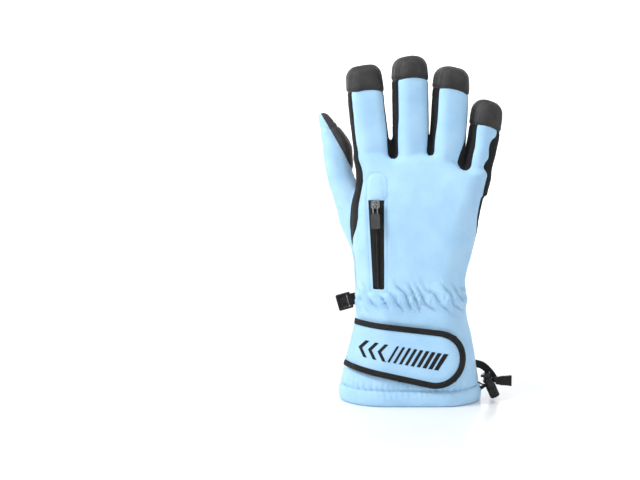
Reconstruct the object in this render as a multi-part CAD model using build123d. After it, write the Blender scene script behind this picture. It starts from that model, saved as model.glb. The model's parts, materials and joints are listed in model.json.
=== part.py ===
"""Right-hand insulated ski glove, standing on its cuff.

Millimetres.  The origin is on the floor at the middle of the cuff's mouth.  +Z runs up along the
fingers, -Y is the back of the hand, +Y the palm, -X the thumb side and +X the little-finger side.
"""
from build123d import *
from math import atan2, cos, degrees, radians, sin, sqrt, tan
import os

os.makedirs("parts", exist_ok=True)

# ---------------------------------------------------------------- driving dimensions
# Body of the glove: height, middle in X, width, depth and corner radius of each level
LEVELS = [
    (-4, 0.5, 111, 70, 34), (14, 0.4, 110, 69, 33.5), (32, 0.8, 102.5, 64.5, 31),
    (50, 2.0, 92, 58, 28), (66, 1.8, 86.6, 54, 26), (82, 1.0, 84.6, 51.5, 25),
    (103, 1.0, 89.2, 50, 24), (127, 2.7, 97.5, 48, 23), (152, 4.8, 102.5, 45.5, 21.5),
    (176, 10.4, 107.5, 38, 18), (200, 13.2, 114, 26, 12.4)]
WRIST_Z = 78            # seam between the cuff and the hand
KNUCKLE_Z = 195.5       # top of the hand at X = 0
KNUCKLE_SLOPE = -0.13   # the knuckle line falls towards the little finger

# Thumb: height, middle in X and Y, width, depth and corner radius of each level
THUMB_LEVELS = [
    (96, -36, 12, 18, 18, 8), (115, -33, 17, 30, 28, 12), (138, -36.5, 19, 37, 31, 13),
    (154, -42, 20, 34, 30, 13), (177, -54.5, 21, 22, 25, 10), (192, -56.9, 22, 23.4, 23, 10),
    (205, -58.6, 22, 23.2, 21, 9), (214, -63.7, 22, 15.5, 18, 6.5), (224.5, -68.8, 22, 7, 12, 3.2)]

# Fingers: root and tip of the middle line (X, Z), width, depth, twist about the middle line,
# height above the root of the bend, and height of the cap's lower edge
FINGERS = {
    "index": dict(root=(-28.8, 197), tip=(-35.4, 266), width=24, depth=23, twist=9,
                  bend=21, cap=244.5, cap_slope=0),
    "middle": dict(root=(0.3, 193), tip=(-1.7, 273), width=23, depth=23, twist=15,
                   bend=26, cap=254, cap_slope=0),
    "ring": dict(root=(27.7, 190.7), tip=(31.0, 264.7), width=23, depth=23, twist=15,
                 bend=27, cap=245.5, cap_slope=-12),
    "pinky": dict(root=(52.6, 181), tip=(58.9, 238.7), width=20.5, depth=21, twist=17,
                  bend=25, cap=217, cap_slope=-15)}
FINGER_CORNER = 8.5
TIP_ROUND = 7.4
SIDE_HALF = 9.0         # half the height of the finger side strips
ROOT_DEPTH = 8          # how far a finger runs down into the hand
CAVITY_DEPTH = 13       # how far a finger's hollow runs down into the hand

# Layers, as depths below the outer face: (finger and thumb, hand and cuff)
SHELL = ((0, 0), (1.1, 1.2))
INSULATION = ((1.2, 1.3), (3.0, 6.3))
LINING = ((3.1, 6.4), (3.7, 7.2))

BEND_MAX = 60           # finger bend
THUMB_BEND_MAX = 35
NOTCH_SPARE = 0.6       # free angle left in each notch
THUMB_PIVOT = (-54.5, 21, 177)
THUMB_AXIS = (-0.66, 0.75, 0)

# Hem and drawcord
HEM_HEIGHT = 11
HEM_PROUD = 1.6
HEM_INNER = 8.3
HEM_WALL = 1.5
HEM_TUNNEL_TOP = 9
CORD_D = 1.8
CORD_TUNNEL_Z = 5.2
CORD_TUNNEL_INSET = 3.9
CORD_Y = -8

# Strap
STRAP_END = (19.5, 37)  # middle of the round end, in X and Z
STRAP_RADIUS = 23
STRAP_GAP = 1.25        # underside of the hook patch above the cuff
HOOK_T = 0.75
STRAP_T = 1.6
BINDING_W = 4.6
BINDING_T = 0.45
STRAP_TOP_SLOPE = 6.5   # how steeply its edges fall towards the round end
STRAP_BOTTOM_SLOPE = 12
LOOP_T = 0.8

# Pocket zip, on the back of the hand near the thumb
ZIP_TOP = (-28.35, 160.7)
ZIP_BOTTOM = (-26.3, 90.8)
ZIP_W_TOP = 12.5
ZIP_W_BOTTOM = 8.6
COIL_W = 2.6
COIL_T = 1.5
GARAGE_H = 19.3

INF = 400


# ---------------------------------------------------------------- helpers
def level_face(x, y, z, width, depth, corner, inset):
    return (Pos(x, y, z) * RectangleRounded(width - 2 * inset, depth - 2 * inset, corner - inset)).face()


def half_space(origin, normal):
    """A block that fills everything on the side that the normal points to."""
    plane = Plane(origin=origin, z_dir=normal)
    return plane * Pos(0, 0, INF / 2) * Box(2 * INF, 2 * INF, INF)


def slab_z(low, high):
    return Pos(0, 0, (low + high) / 2) * Box(INF, INF, high - low)


def slab_y(low, high):
    return Pos(0, (low + high) / 2, 0) * Box(3 * INF, high - low, 3 * INF)


def block(x, y, z):
    """A box between two limits along each axis."""
    centre = [(low + high) / 2 for low, high in (x, y, z)]
    size = [high - low for low, high in (x, y, z)]
    return Pos(*centre) * Box(*size)


def solids(shape, least=2.0):
    """The solids of a shape that are larger than a crumb."""
    return [s for s in shape.solids() if s.volume > least]


def write(name, *shapes, least=2.0):
    pieces = [s for shape in shapes for s in solids(shape, least)]
    whole = pieces[0] if len(pieces) == 1 else Compound(children=pieces)
    export_step(whole, f"parts/{name}.step")
    print(name, len(pieces), round(sum(s.volume for s in pieces), 1))


def tube(points, radius, diameter):
    """A cord along straight runs joined by tangent arcs."""
    path = FilletPolyline(*points, radius=radius)
    start = Plane(origin=path @ 0, z_dir=path % 0)
    return sweep(start * Circle(diameter / 2), path=path)


def xz_prism(sketch_points, front=-60, back=60):
    """A prism along Y over a polygon given in X and Z."""
    face = make_face(Polyline(*[(x, front, z) for x, z in sketch_points], close=True))
    return extrude(face, amount=back - front, dir=(0, 1, 0))


# ---------------------------------------------------------------- soft bodies, at any inset
def main_body(inset):
    faces = [level_face(x, 0, z, w, d, r, inset) for z, x, w, d, r in LEVELS]
    return loft(faces)


def knuckles(inset):
    """Everything below the knuckle line, lowered by the inset."""
    return half_space((0, 0, KNUCKLE_Z - inset), (KNUCKLE_SLOPE, 0, -1))


def finger_frame(spec):
    (x0, z0), (x1, z1) = spec["root"], spec["tip"]
    lean = degrees(atan2(x1 - x0, z1 - z0))
    return Pos(x0, 0, z0) * Rot(0, lean, 0) * Rot(0, 0, spec["twist"])


def finger_length(spec):
    (x0, z0), (x1, z1) = spec["root"], spec["tip"]
    return sqrt((x1 - x0) ** 2 + (z1 - z0) ** 2)


def finger_body(spec, inset, below):
    length = finger_length(spec) - inset
    width, depth = spec["width"] - 2 * inset, spec["depth"] - 2 * inset
    profile = RectangleRounded(width, depth, FINGER_CORNER - inset)
    prism = extrude(Pos(0, 0, -below) * profile, amount=length + below)
    prism = fillet(prism.faces().sort_by(Axis.Z)[-1].edges(), TIP_ROUND - inset)
    return finger_frame(spec) * prism


def thumb_body(inset):
    hollow = inset > 2
    levels = THUMB_LEVELS[:-1] if hollow else THUMB_LEVELS
    faces = [level_face(x, y, z, w, d, r, inset) for z, x, y, w, d, r in levels[:-1]]
    z, x, y, w, d, r = levels[-1]
    tip_drop = inset - 3 if hollow else inset
    faces.append(level_face(x, y, z - tip_drop, w, d, r, inset))
    return loft(faces, ruled=True)


def bend_point(spec):
    """The point on the finger's middle line that it bends about."""
    (x0, z0), (x1, z1) = spec["root"], spec["tip"]
    t = spec["bend"] / (z1 - z0)
    return (x0 + t * (x1 - x0), 0, z0 + spec["bend"])


def hinge_regions(pivot, axis, bend_max):
    """Blocks beyond, before and inside the notch of a bend.

    The notch is open on the side that the digit bends to, and half of it is on each part.
    """
    plane = Plane(origin=pivot, x_dir=Vector(*axis).cross(Vector(0, 0, 1)), z_dir=Vector(*axis) * -1)
    half = radians(bend_max / 2 + NOTCH_SPARE)
    fold = 60
    reach = 120
    rise = fold * tan(half)
    before_outline = Polyline(
        (-fold, 0), (0, 0), (fold, -rise), (fold, -reach), (-fold, -reach), close=True)
    beyond_outline = Polyline(
        (-fold, 0), (0, 0), (fold, rise), (fold, reach), (-fold, reach), close=True)
    crease_rise = fold * tan(half - radians(0.4))
    crease_outline = Polyline((0.4, 0), (fold, crease_rise), (fold, -crease_rise), close=True)
    return [plane * Pos(0, 0, -60) * extrude(make_face(line), amount=120)
            for line in (beyond_outline, before_outline, crease_outline)]


FINGER_REGIONS = {
    name: hinge_regions(bend_point(spec), (-1, 0, 0), BEND_MAX) for name, spec in FINGERS.items()}
THUMB_REGIONS = hinge_regions(THUMB_PIVOT, THUMB_AXIS, THUMB_BEND_MAX)
BEYOND, BEFORE, CREASE = range(3)


def digits(inset):
    """The whole fingers and thumb, as hollows to take away."""
    fingers = [finger_body(spec, inset, CAVITY_DEPTH) for spec in FINGERS.values()]
    return fingers + [thumb_body(inset)]


def stubs(inset):
    """The parts of the fingers and thumb that belong to the hand."""
    fingers = [finger_body(spec, inset, ROOT_DEPTH) & FINGER_REGIONS[name][BEFORE]
               for name, spec in FINGERS.items()]
    return fingers + [thumb_body(inset) & THUMB_REGIONS[BEFORE]]


def hand_layer(outer, inner):
    """One layer of the hand with its finger and thumb stubs, from the wrist up."""
    body = main_body(outer[1]) & knuckles(outer[1]) & slab_z(WRIST_Z, 260)
    for stub in stubs(outer[0]):
        body = body + stub
    body = body - (main_body(inner[1]) & knuckles(inner[1]))
    for hollow in digits(inner[0]):
        body = body - hollow
    return body


def ring(outer, inner, low, high):
    """One layer of the body between two heights."""
    return (main_body(outer) & slab_z(low, high)) - main_body(inner)


# ---------------------------------------------------------------- hand
print("hand")
KNUCKLE_NORMAL = (-KNUCKLE_SLOPE, 0, 1)
above_knuckles = half_space((0, 0, KNUCKLE_Z), KNUCKLE_NORMAL)
below_knuckles = knuckles(0)

# The outer shell is cut into a back, a palm and black side gussets.
GUSSET_LOW_Z = 122
hand_outer = main_body(0) & below_knuckles & slab_z(WRIST_Z, 260)
thumb_skin = thumb_body(0) & THUMB_REGIONS[BEFORE]
shell = hand_outer - (main_body(SHELL[1][1]) & knuckles(SHELL[1][1]))
for hollow in digits(SHELL[1][0]):
    shell = shell - hollow

zip_dx = ZIP_BOTTOM[0] - ZIP_TOP[0]
zip_dz = ZIP_BOTTOM[1] - ZIP_TOP[1]
zip_window = xz_prism([
    (ZIP_TOP[0] - ZIP_W_TOP / 2, ZIP_TOP[1]), (ZIP_TOP[0] + ZIP_W_TOP / 2, ZIP_TOP[1]),
    (ZIP_BOTTOM[0] + ZIP_W_BOTTOM / 2, ZIP_BOTTOM[1]), (ZIP_BOTTOM[0] - ZIP_W_BOTTOM / 2, ZIP_BOTTOM[1])],
    back=0)

ALL_X = (-INF / 3, INF / 3)
back_region = slab_y(-INF / 3, -SIDE_HALF) + block(ALL_X, (-SIDE_HALF, SIDE_HALF), (0, GUSSET_LOW_Z))
side_region = block(ALL_X, (-SIDE_HALF, SIDE_HALF), (GUSSET_LOW_Z, 260))
back_panel = (shell & back_region) - zip_window
palm_panel = shell & slab_y(SIDE_HALF, INF / 3)
gussets = shell & side_region
for name, spec in FINGERS.items():
    stub = finger_body(spec, SHELL[0][0], ROOT_DEPTH) & FINGER_REGIONS[name][BEFORE] & above_knuckles
    stub = stub - finger_body(spec, SHELL[1][0], CAVITY_DEPTH)
    frame = finger_frame(spec)
    back_panel = back_panel + (stub & (frame * slab_y(-INF / 3, -SIDE_HALF)))
    palm_panel = palm_panel + (stub & (frame * slab_y(SIDE_HALF, INF / 3)))
    gussets = gussets + (stub & (frame * slab_y(-SIDE_HALF, SIDE_HALF)))

# The thumb's blue outer panel and black inner panel meet along one slanted seam.
THUMB_SEAM = ((-60, 20, 209), (0.865, 0, 0.503))
thumb_base = thumb_skin - thumb_body(SHELL[1][0]) - (main_body(0) & below_knuckles)
thumb_base_inner = thumb_base & half_space(*THUMB_SEAM)
thumb_base_outer = thumb_base - half_space(*THUMB_SEAM)

write("back_panel", back_panel)
write("palm_panel", palm_panel)
write("hand_gussets", gussets, thumb_base_inner)
write("thumb_base_panel", thumb_base_outer)

print("insulation")
ELASTIC_Z = (82, 90)
POCKET_Z = (98, 172)
POCKET_X = (-33, 12)
insulation = hand_layer(*INSULATION)
insulation = insulation - ring(1.25, 2.4, ELASTIC_Z[0] - 0.3, ELASTIC_Z[1] + 0.3)
pocket_recess = ring(1.25, 2.6, POCKET_Z[0] - 0.5, POCKET_Z[1] + 0.5)
pocket_recess = pocket_recess & block((POCKET_X[0] - 0.5, POCKET_X[1] + 0.5), (-60, 0), (0, 260))
zip_recess = ring(1.25, 3.6, ZIP_BOTTOM[1] - 1, ZIP_TOP[1] + 1) & block((-31.5, -22.5), (-60, 0), (0, 260))
insulation = insulation - pocket_recess - zip_recess
write("hand_insulation_back", insulation & slab_y(-INF / 3, -0.05), least=20)
write("hand_insulation_palm", insulation & slab_y(0.05, INF / 3), least=20)

lining = hand_layer(*LINING)
cuff_lining = ring(LINING[0][1], LINING[1][1], 1.7, WRIST_Z)
write("lining", lining + cuff_lining)

# ---------------------------------------------------------------- fingers and thumb
print("fingers")
creases = []
for name, spec in FINGERS.items():
    beyond = FINGER_REGIONS[name][BEYOND]
    frame = finger_frame(spec)
    cap_x, _, cap_z = bend_point(spec)
    slope = radians(spec["cap_slope"])
    above_cap = half_space((cap_x, 0, spec["cap"]), (-sin(slope), 0, cos(slope)))
    skin = (finger_body(spec, SHELL[0][0], 0) - finger_body(spec, SHELL[1][0], 1)) & beyond
    below_cap = skin - above_cap
    write(f"{name}_back", below_cap & (frame * slab_y(-INF / 3, -SIDE_HALF)))
    write(f"{name}_fourchettes", below_cap & (frame * slab_y(-SIDE_HALF, SIDE_HALF)))
    write(f"{name}_palm", skin & (frame * slab_y(SIDE_HALF, INF / 3)))
    write(f"{name}_cap", (skin & above_cap) - (frame * slab_y(SIDE_HALF, INF / 3)))
    for layer, (outer, inner) in (("insulation", INSULATION), ("lining", LINING)):
        write(f"{name}_{layer}", (finger_body(spec, outer[0], 0) - finger_body(spec, inner[0], 1)) & beyond)
    wall = finger_body(spec, 0, 0) - finger_body(spec, LINING[1][0], 1)
    creases.append(wall & FINGER_REGIONS[name][CREASE])

print("thumb")
beyond = THUMB_REGIONS[BEYOND]
thumb_shell = (thumb_body(0) - thumb_body(SHELL[1][0])) & beyond
write("thumb_outer_panel", thumb_shell - half_space(*THUMB_SEAM))
write("thumb_inner_panel", thumb_shell & half_space(*THUMB_SEAM))
write("thumb_insulation", (thumb_body(INSULATION[0][0]) - thumb_body(INSULATION[1][0])) & beyond)
write("thumb_lining", (thumb_body(LINING[0][0]) - thumb_body(LINING[1][0])) & beyond)
creases.append((thumb_body(0) - thumb_body(LINING[1][0])) & THUMB_REGIONS[CREASE])
write("digit_creases", *creases)

# ---------------------------------------------------------------- cuff, wrist elastic and hem
print("cuff")
eyelet = Pos(56, CORD_Y, 8) * Rot(0, 90, 0) * Cylinder(2.7, 11)
cuff_shell = ring(0, SHELL[1][1], 1.6, WRIST_Z) - eyelet
write("cuff_panels", cuff_shell & slab_y(-INF / 3, -0.02), cuff_shell & slab_y(0.02, INF / 3))
write("cuff_insulation", ring(INSULATION[0][1], INSULATION[1][1], HEM_TUNNEL_TOP + 0.2, WRIST_Z - 0.1))
write("wrist_elastic", ring(1.35, 2.3, *ELASTIC_Z))


hem_tunnel = ring(-0.05, LINING[1][1] + 0.05, HEM_WALL, HEM_HEIGHT + 1)
hem = ring(-HEM_PROUD, HEM_INNER, 0, HEM_HEIGHT) - hem_tunnel
write("hem_band", hem - eyelet)

# ---------------------------------------------------------------- strap on the back of the cuff
print("strap")
STRAP_SIDE_Y = -4       # the strap's sewn end, at the thumb side


def strap_region(inset):
    """The strap's outline seen from the back: two straight edges tangent to a round end."""
    x, z = STRAP_END
    r = STRAP_RADIUS - inset
    top, bottom = radians(STRAP_TOP_SLOPE), radians(STRAP_BOTTOM_SLOPE)
    top_x, top_z = x + r * sin(top), z + r * cos(top)
    low_x, low_z = x - r * sin(bottom), z - r * cos(bottom)
    run = 100
    body = xz_prism([(top_x, top_z), (top_x - run, top_z + run * tan(top)),
                     (low_x - run, low_z + run * tan(bottom)), (low_x, low_z), (x, z)],
                    back=STRAP_SIDE_Y - inset)
    from_front = (Align.CENTER, Align.CENTER, Align.MIN)
    end = Pos(x, -60, z) * Rot(-90, 0, 0) * Cylinder(r, 56 - inset, align=from_front)
    return body + end


strap_under = STRAP_GAP + HOOK_T
strap_over = strap_under + STRAP_T
strap_zone = slab_z(5, 75)


def strap_layer(outer, inner, region):
    """A layer of the strap, between two heights above the cuff."""
    layer = (main_body(-outer) & strap_zone) - main_body(-inner)
    return layer & region


strap = strap_layer(strap_over, strap_under, strap_region(0.5))
band = strap_region(0) - strap_region(BINDING_W)
binding = strap_layer(strap_over + BINDING_T, strap_under - BINDING_T, band) - strap
hook_zone = block((-4, 60), (-60, 0), (0, 80))
loop_zone = block((-14, 36), (-60, 0), (19, 55))
write("strap", strap)
write("strap_binding", binding)
write("hook_patch", strap_layer(strap_under, STRAP_GAP, strap_region(BINDING_W + 1.2) & hook_zone))
write("loop_patch", strap_layer(LOOP_T + 0.05, 0.05, loop_zone))

# ---------------------------------------------------------------- pocket zip
print("zip")


def back_surface_y(x, z):
    """Y of the glove's back at a place, from the levels above and below it."""
    for low, high in zip(LEVELS, LEVELS[1:]):
        if low[0] <= z <= high[0]:
            t = (z - low[0]) / (high[0] - low[0])
            middle, width, depth, corner = (a + t * (b - a) for a, b in zip(low[1:], high[1:]))
    overhang = max(0, abs(x - middle) - (width / 2 - corner))
    return -(depth / 2 - corner) - sqrt(corner ** 2 - overhang ** 2)


def zip_strip(half_top, half_bottom, top=ZIP_TOP[1], bottom=ZIP_BOTTOM[1]):
    return xz_prism([(ZIP_TOP[0] - half_top, top), (ZIP_TOP[0] + half_top, top),
                     (ZIP_BOTTOM[0] + half_bottom, bottom), (ZIP_BOTTOM[0] - half_bottom, bottom)], back=0)


COIL_RISE = 0.9         # the coil's height above the glove's face
zip_zone = slab_z(85, 185)
tape_layer = (main_body(0) & zip_zone) - main_body(1.1)
tapes = tape_layer & zip_strip(ZIP_W_TOP / 2 - 0.05, ZIP_W_BOTTOM / 2 - 0.05)
tapes = tapes - zip_strip(0.35, 0.35, ZIP_TOP[1] + 1, ZIP_BOTTOM[1] - 1)
coil_layer = (main_body(-COIL_RISE) & zip_zone) - main_body(-0.05)
coil = coil_layer & zip_strip(COIL_W / 2, COIL_W / 2, ZIP_TOP[1] - 1, ZIP_BOTTOM[1] + 1.5)
write("zip_tapes", tapes)
write("zip_coil", coil)

garage_left = ZIP_TOP[0] - 5.5
garage_right = ZIP_TOP[0] + 6.3
garage_shape = block((garage_left, garage_right), (-60, 0), (ZIP_TOP[1] + 0.6, ZIP_TOP[1] + GARAGE_H))
garage_shape = fillet(garage_shape.edges().filter_by(Axis.Y).group_by(Axis.Z)[-1], 5)
garage = ((main_body(-1.0) & zip_zone) - main_body(-0.05)) & garage_shape
write("zip_garage", garage)

pocket = (main_body(1.35) & zip_zone) - main_body(2.5)
pocket = pocket & block(POCKET_X, (-60, 0), POCKET_Z)
pocket_gap = (main_body(1.65) & zip_zone) - main_body(2.2)
pocket_gap = pocket_gap & block(
    (POCKET_X[0] + 1, POCKET_X[1] - 1), (-60, 0), (POCKET_Z[0] + 1, POCKET_Z[1] - 1))
pocket_mouth = (main_body(1.3) & zip_zone) - main_body(1.9)
pocket_mouth = pocket_mouth & zip_strip(1.5, 1.5, ZIP_TOP[1] - 2, ZIP_BOTTOM[1] + 9)
write("pocket_bag", pocket - pocket_gap - pocket_mouth)

# The slider runs down a straight line just above the coil.
BULGE = 1.2             # the face between the zip's ends stands this far above the straight line
top_point = Vector(ZIP_TOP[0], back_surface_y(*ZIP_TOP), ZIP_TOP[1])
bottom_point = Vector(ZIP_BOTTOM[0], back_surface_y(*ZIP_BOTTOM), ZIP_BOTTOM[1])
zip_down = (bottom_point - top_point).normalized()
lean = radians(14)
zip_out = Vector(-sin(lean), -cos(lean), 0)
zip_out = (zip_out - zip_down * zip_out.dot(zip_down)).normalized()
slider_origin = top_point + zip_down * 3.4 + zip_out * (BULGE + COIL_RISE + 0.35)
slider_plane = Plane(origin=slider_origin, x_dir=zip_down.cross(zip_out) * -1, z_dir=zip_out)

SLIDER_W, SLIDER_L, SLIDER_T = 7.0, 6.2, 1.2
BAIL_W, BAIL_L, BAIL_H = 1.5, 5.0, 2.5
WIRE_D = 1.0
PULL_H = 0.95           # height of the pull's middle above the slider's plate
slider = Pos(0, 0, SLIDER_T / 2) * Box(SLIDER_W, SLIDER_L, SLIDER_T)
slider = fillet(slider.edges().filter_by(Axis.Z), 1.4)
for side in (-1, 1):
    slider = slider + Pos(side * (SLIDER_W / 2 - 0.6), 0, -0.5) * Box(0.9, SLIDER_L - 3, 1.0)
bail = Pos(0, 0, SLIDER_T + BAIL_H / 2) * Box(BAIL_W, BAIL_L, BAIL_H)
bail = fillet(bail.edges().filter_by(Axis.X).group_by(Axis.Z)[-1], 1.0)
bail = bail - Pos(0, 0, SLIDER_T + PULL_H) * Box(3, 3.2, 1.8)
write("zip_slider", slider_plane * (slider + bail))

LINK_W, LINK_L = 4.4, 9.6
TAB_W, TAB_L, TAB_T = 7.0, 12.0, 1.7
link_middle = Pos(0, -LINK_L / 2 + WIRE_D / 2, SLIDER_T + PULL_H)
link_wire = (link_middle * RectangleRounded(LINK_W - WIRE_D, LINK_L - WIRE_D, 1.2)).wire()
link_start = Plane(origin=link_wire @ 0, z_dir=link_wire % 0)
link = sweep(link_start * Circle(WIRE_D / 2), path=link_wire)
write("pull_link", slider_plane * link)
tab_top = -LINK_L + 2.6
tab = Pos(0, tab_top - TAB_L / 2, SLIDER_T + PULL_H) * Box(TAB_W, TAB_L, TAB_T)
tab = fillet(tab.edges().filter_by(Axis.Z), 1.6)
link_slot = Box(LINK_W + 0.2, LINK_L + 1.2, WIRE_D + 0.2)
tab = tab - Pos(0, -LINK_L / 2, SLIDER_T + PULL_H) * link_slot
write("pull_tab", slider_plane * tab)

# ---------------------------------------------------------------- hem drawcord and its lock
print("drawcord")
LOCK_TOP = Vector(61.9, CORD_Y, 17.1)
LOCK_DOWN = Vector(0.42, 0, -0.9075).normalized()
LOCK_SIDE = Vector(0.9075, 0, 0.42).normalized()
LOCK_D, LOCK_L = 8.0, 16.4
LOCK_BORE = 5.6
HOLE_DOWN = 4.2         # the cord hole, below the barrel's top
STRAND_HALF = 1.1       # half the distance between the two strands
lock_plane = Plane(origin=LOCK_TOP, x_dir=LOCK_SIDE, z_dir=LOCK_DOWN)

barrel = Pos(0, 0, LOCK_L / 2) * Cylinder(LOCK_D / 2, LOCK_L)
barrel = fillet(barrel.edges().group_by(Axis.Z)[-1], 1.0)
barrel = barrel - Pos(0, 0, 6) * Cylinder(LOCK_BORE / 2, 14.2)
cord_hole = Pos(0, 0, HOLE_DOWN) * Box(20, 4.8, 3.6)
barrel = barrel - cord_hole
write("lock_barrel", lock_plane * barrel)

PRESS = 2.5
head = Pos(0, 0, -PRESS - 0.4 - 0.8) * Cylinder(4.0, 1.6)
head = fillet(head.edges().group_by(Axis.Z)[0], 0.7)
stem = Pos(0, 0, (8.2 - PRESS - 0.5) / 2) * Cylinder(LOCK_BORE / 2 - 0.15, 8.2 + PRESS + 0.5)
write("lock_plunger", lock_plane * (head + stem - cord_hole))

SPRING_TURNS = 4
spring_low, spring_high = 8.55, 12.9
spring_height = spring_high - spring_low
spring_path = Helix(pitch=spring_height / SPRING_TURNS, height=spring_height, radius=2.0)
spring_start = Plane(origin=spring_path @ 0, z_dir=spring_path % 0)
spring = sweep(spring_start * Circle(0.24), path=spring_path)
write("lock_spring", lock_plane * Pos(0, 0, spring_low + 0.05) * spring, least=0.5)

hole_point = LOCK_TOP + LOCK_DOWN * HOLE_DOWN
neck_point = hole_point + LOCK_SIDE * (LOCK_D / 2 + 0.5)
tunnel_face = level_face(0.45, 0, CORD_TUNNEL_Z, 110.7, 69.4, 33.7, CORD_TUNNEL_INSET)
tunnel_wire = tunnel_face.outer_wire()
tunnel_start = Plane(origin=tunnel_wire @ 0, z_dir=tunnel_wire % 0)
cord = sweep(tunnel_start * Circle(CORD_D / 2), path=tunnel_wire)
for side in (-1, 1):
    offset = Vector(0, side * STRAND_HALF, 0)
    inner_end = Vector(51.0, CORD_Y, CORD_TUNNEL_Z)
    route = [neck_point + offset, hole_point + offset, inner_end + offset]
    turn = (route[1] - route[0]).get_angle(route[2] - route[1])
    corner_radius = 0.45 * (route[1] - route[0]).length / tan(radians(turn / 2))
    cord = cord + tube(route, corner_radius, CORD_D)
write("drawcord", cord)

TAB_LENGTH = 13.6
NECK_HALF, TAB_HALF = 2.4, 4.2
neck_x, neck_z = neck_point.X, neck_point.Z
tab_outline = [(neck_x - 1.5, neck_z + NECK_HALF), (neck_x + TAB_LENGTH, neck_z + TAB_HALF),
               (neck_x + TAB_LENGTH, neck_z - TAB_HALF), (neck_x - 1.5, neck_z - NECK_HALF)]
end_tab = xz_prism(tab_outline, CORD_Y - 1.7, CORD_Y + 1.7)
end_tab = end_tab + block(
    (neck_x - 1.5, neck_x + 4), (CORD_Y - 2.1, -3.65), (neck_z - NECK_HALF, neck_z + NECK_HALF))
write("cord_end_tab", end_tab & half_space(neck_point + LOCK_SIDE * 0.02, LOCK_SIDE))

# The keeper tape arches from the side seam to the neck of the end tab, behind the lock.
KEEPER_Y = (-3.6, -2.4)
upper_edge = Spline(*[(x, KEEPER_Y[0], z) for x, z in ((52, 31.4), (60, 29), (67, 22.5), (71.6, 15.5))])
lower_edge = Spline(*[(x, KEEPER_Y[0], z) for x, z in ((52, 25.6), (57.5, 24), (63, 19), (67.4, 12.8))])
keeper_face = make_face([upper_edge, lower_edge, Line(upper_edge @ 0, lower_edge @ 0),
                         Line(upper_edge @ 1, lower_edge @ 1)])
keeper = extrude(keeper_face, amount=KEEPER_Y[1] - KEEPER_Y[0], dir=(0, 1, 0))
write("keeper_tape", keeper - main_body(-0.1))

# ---------------------------------------------------------------- side clip at the wrist
print("clip")
CLIP_SEAM = (-43.6, 0, 80.8)
CLIP_TILT = 16          # the clip hangs this far below level
CLIP_L, CLIP_W, CLIP_T = 12.0, 13.2, 3.4
CLIP_START = 3.1        # near end of the frame, from the seam
RAIL = 1.7
BAR_D = 1.8
BAR_X = 4.1
WINDOW_END = 13.2
clip_out = Vector(-cos(radians(CLIP_TILT)), 0, -sin(radians(CLIP_TILT)))
clip_plane = Plane(origin=CLIP_SEAM, x_dir=clip_out, z_dir=(0, 1, 0))

plate = Pos(CLIP_START + CLIP_L / 2, 0, 0) * Box(CLIP_L, CLIP_W, CLIP_T)
plate = fillet(plate.edges().filter_by(Axis.Z), 1.3)
window_half = CLIP_W / 2 - RAIL
plate = plate - Pos(WINDOW_END / 2, 0, 0) * Box(WINDOW_END, 2 * window_half, 10)
bar = Pos(BAR_X, 0, 0) * Rot(90, 0, 0) * Cylinder(BAR_D / 2, 2 * window_half + 1)
write("clip_frame", clip_plane * (plate + bar))

# The tape is a flat loop round the frame's bar, with its two ends sewn into the seam.
TAPE_W = 9.0
TAPE_T = 0.9
LOOP_START = 1.7        # where the two ends of the tape come together
loop_inner_r = BAR_D / 2 + 0.35
loop_outer_r = loop_inner_r + TAPE_T


def stadium(radius):
    """A strip of the given half height that ends in a half circle round the bar."""
    strip = Pos((LOOP_START + BAR_X) / 2, 0, 0) * Box(BAR_X - LOOP_START, TAPE_W, 2 * radius)
    return strip + Pos(BAR_X, 0, 0) * Rot(90, 0, 0) * Cylinder(radius, TAPE_W)


tape = stadium(loop_outer_r) - stadium(loop_inner_r)
sewn_end = Pos(LOOP_START / 2, 0, 0) * Box(LOOP_START, TAPE_W, 2 * TAPE_T)
sewn_end += Rot(90, 0, 0) * Cylinder(TAPE_T, TAPE_W)
sewn_wall = Pos(LOOP_START + 0.3, 0, 0) * Box(0.6, TAPE_W, 2 * loop_outer_r)
write("clip_tape", clip_plane * (tape + sewn_end + sewn_wall))

TONGUE_HINGE = WINDOW_END - 0.4
TONGUE_END = BAR_X + loop_outer_r + 0.5
tongue_length = TONGUE_HINGE - TONGUE_END
tongue = Pos(TONGUE_END + tongue_length / 2, 0, 0) * Box(tongue_length, 2 * window_half - 0.8, 1.6)
lip = Pos(TONGUE_END + 0.8, 0, -0.9) * Box(1.6, 2 * window_half - 2.4, 1.0)
write("clip_tongue", clip_plane * (tongue + lip))
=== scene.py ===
"""Visual model of a right-hand insulated ski glove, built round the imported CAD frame.

Work is in millimetres and is scaled to metres when a mesh is made.  +Z runs up along the fingers,
-Y is the back of the hand, -X the thumb side.
"""
import json
import math
from itertools import product

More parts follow.
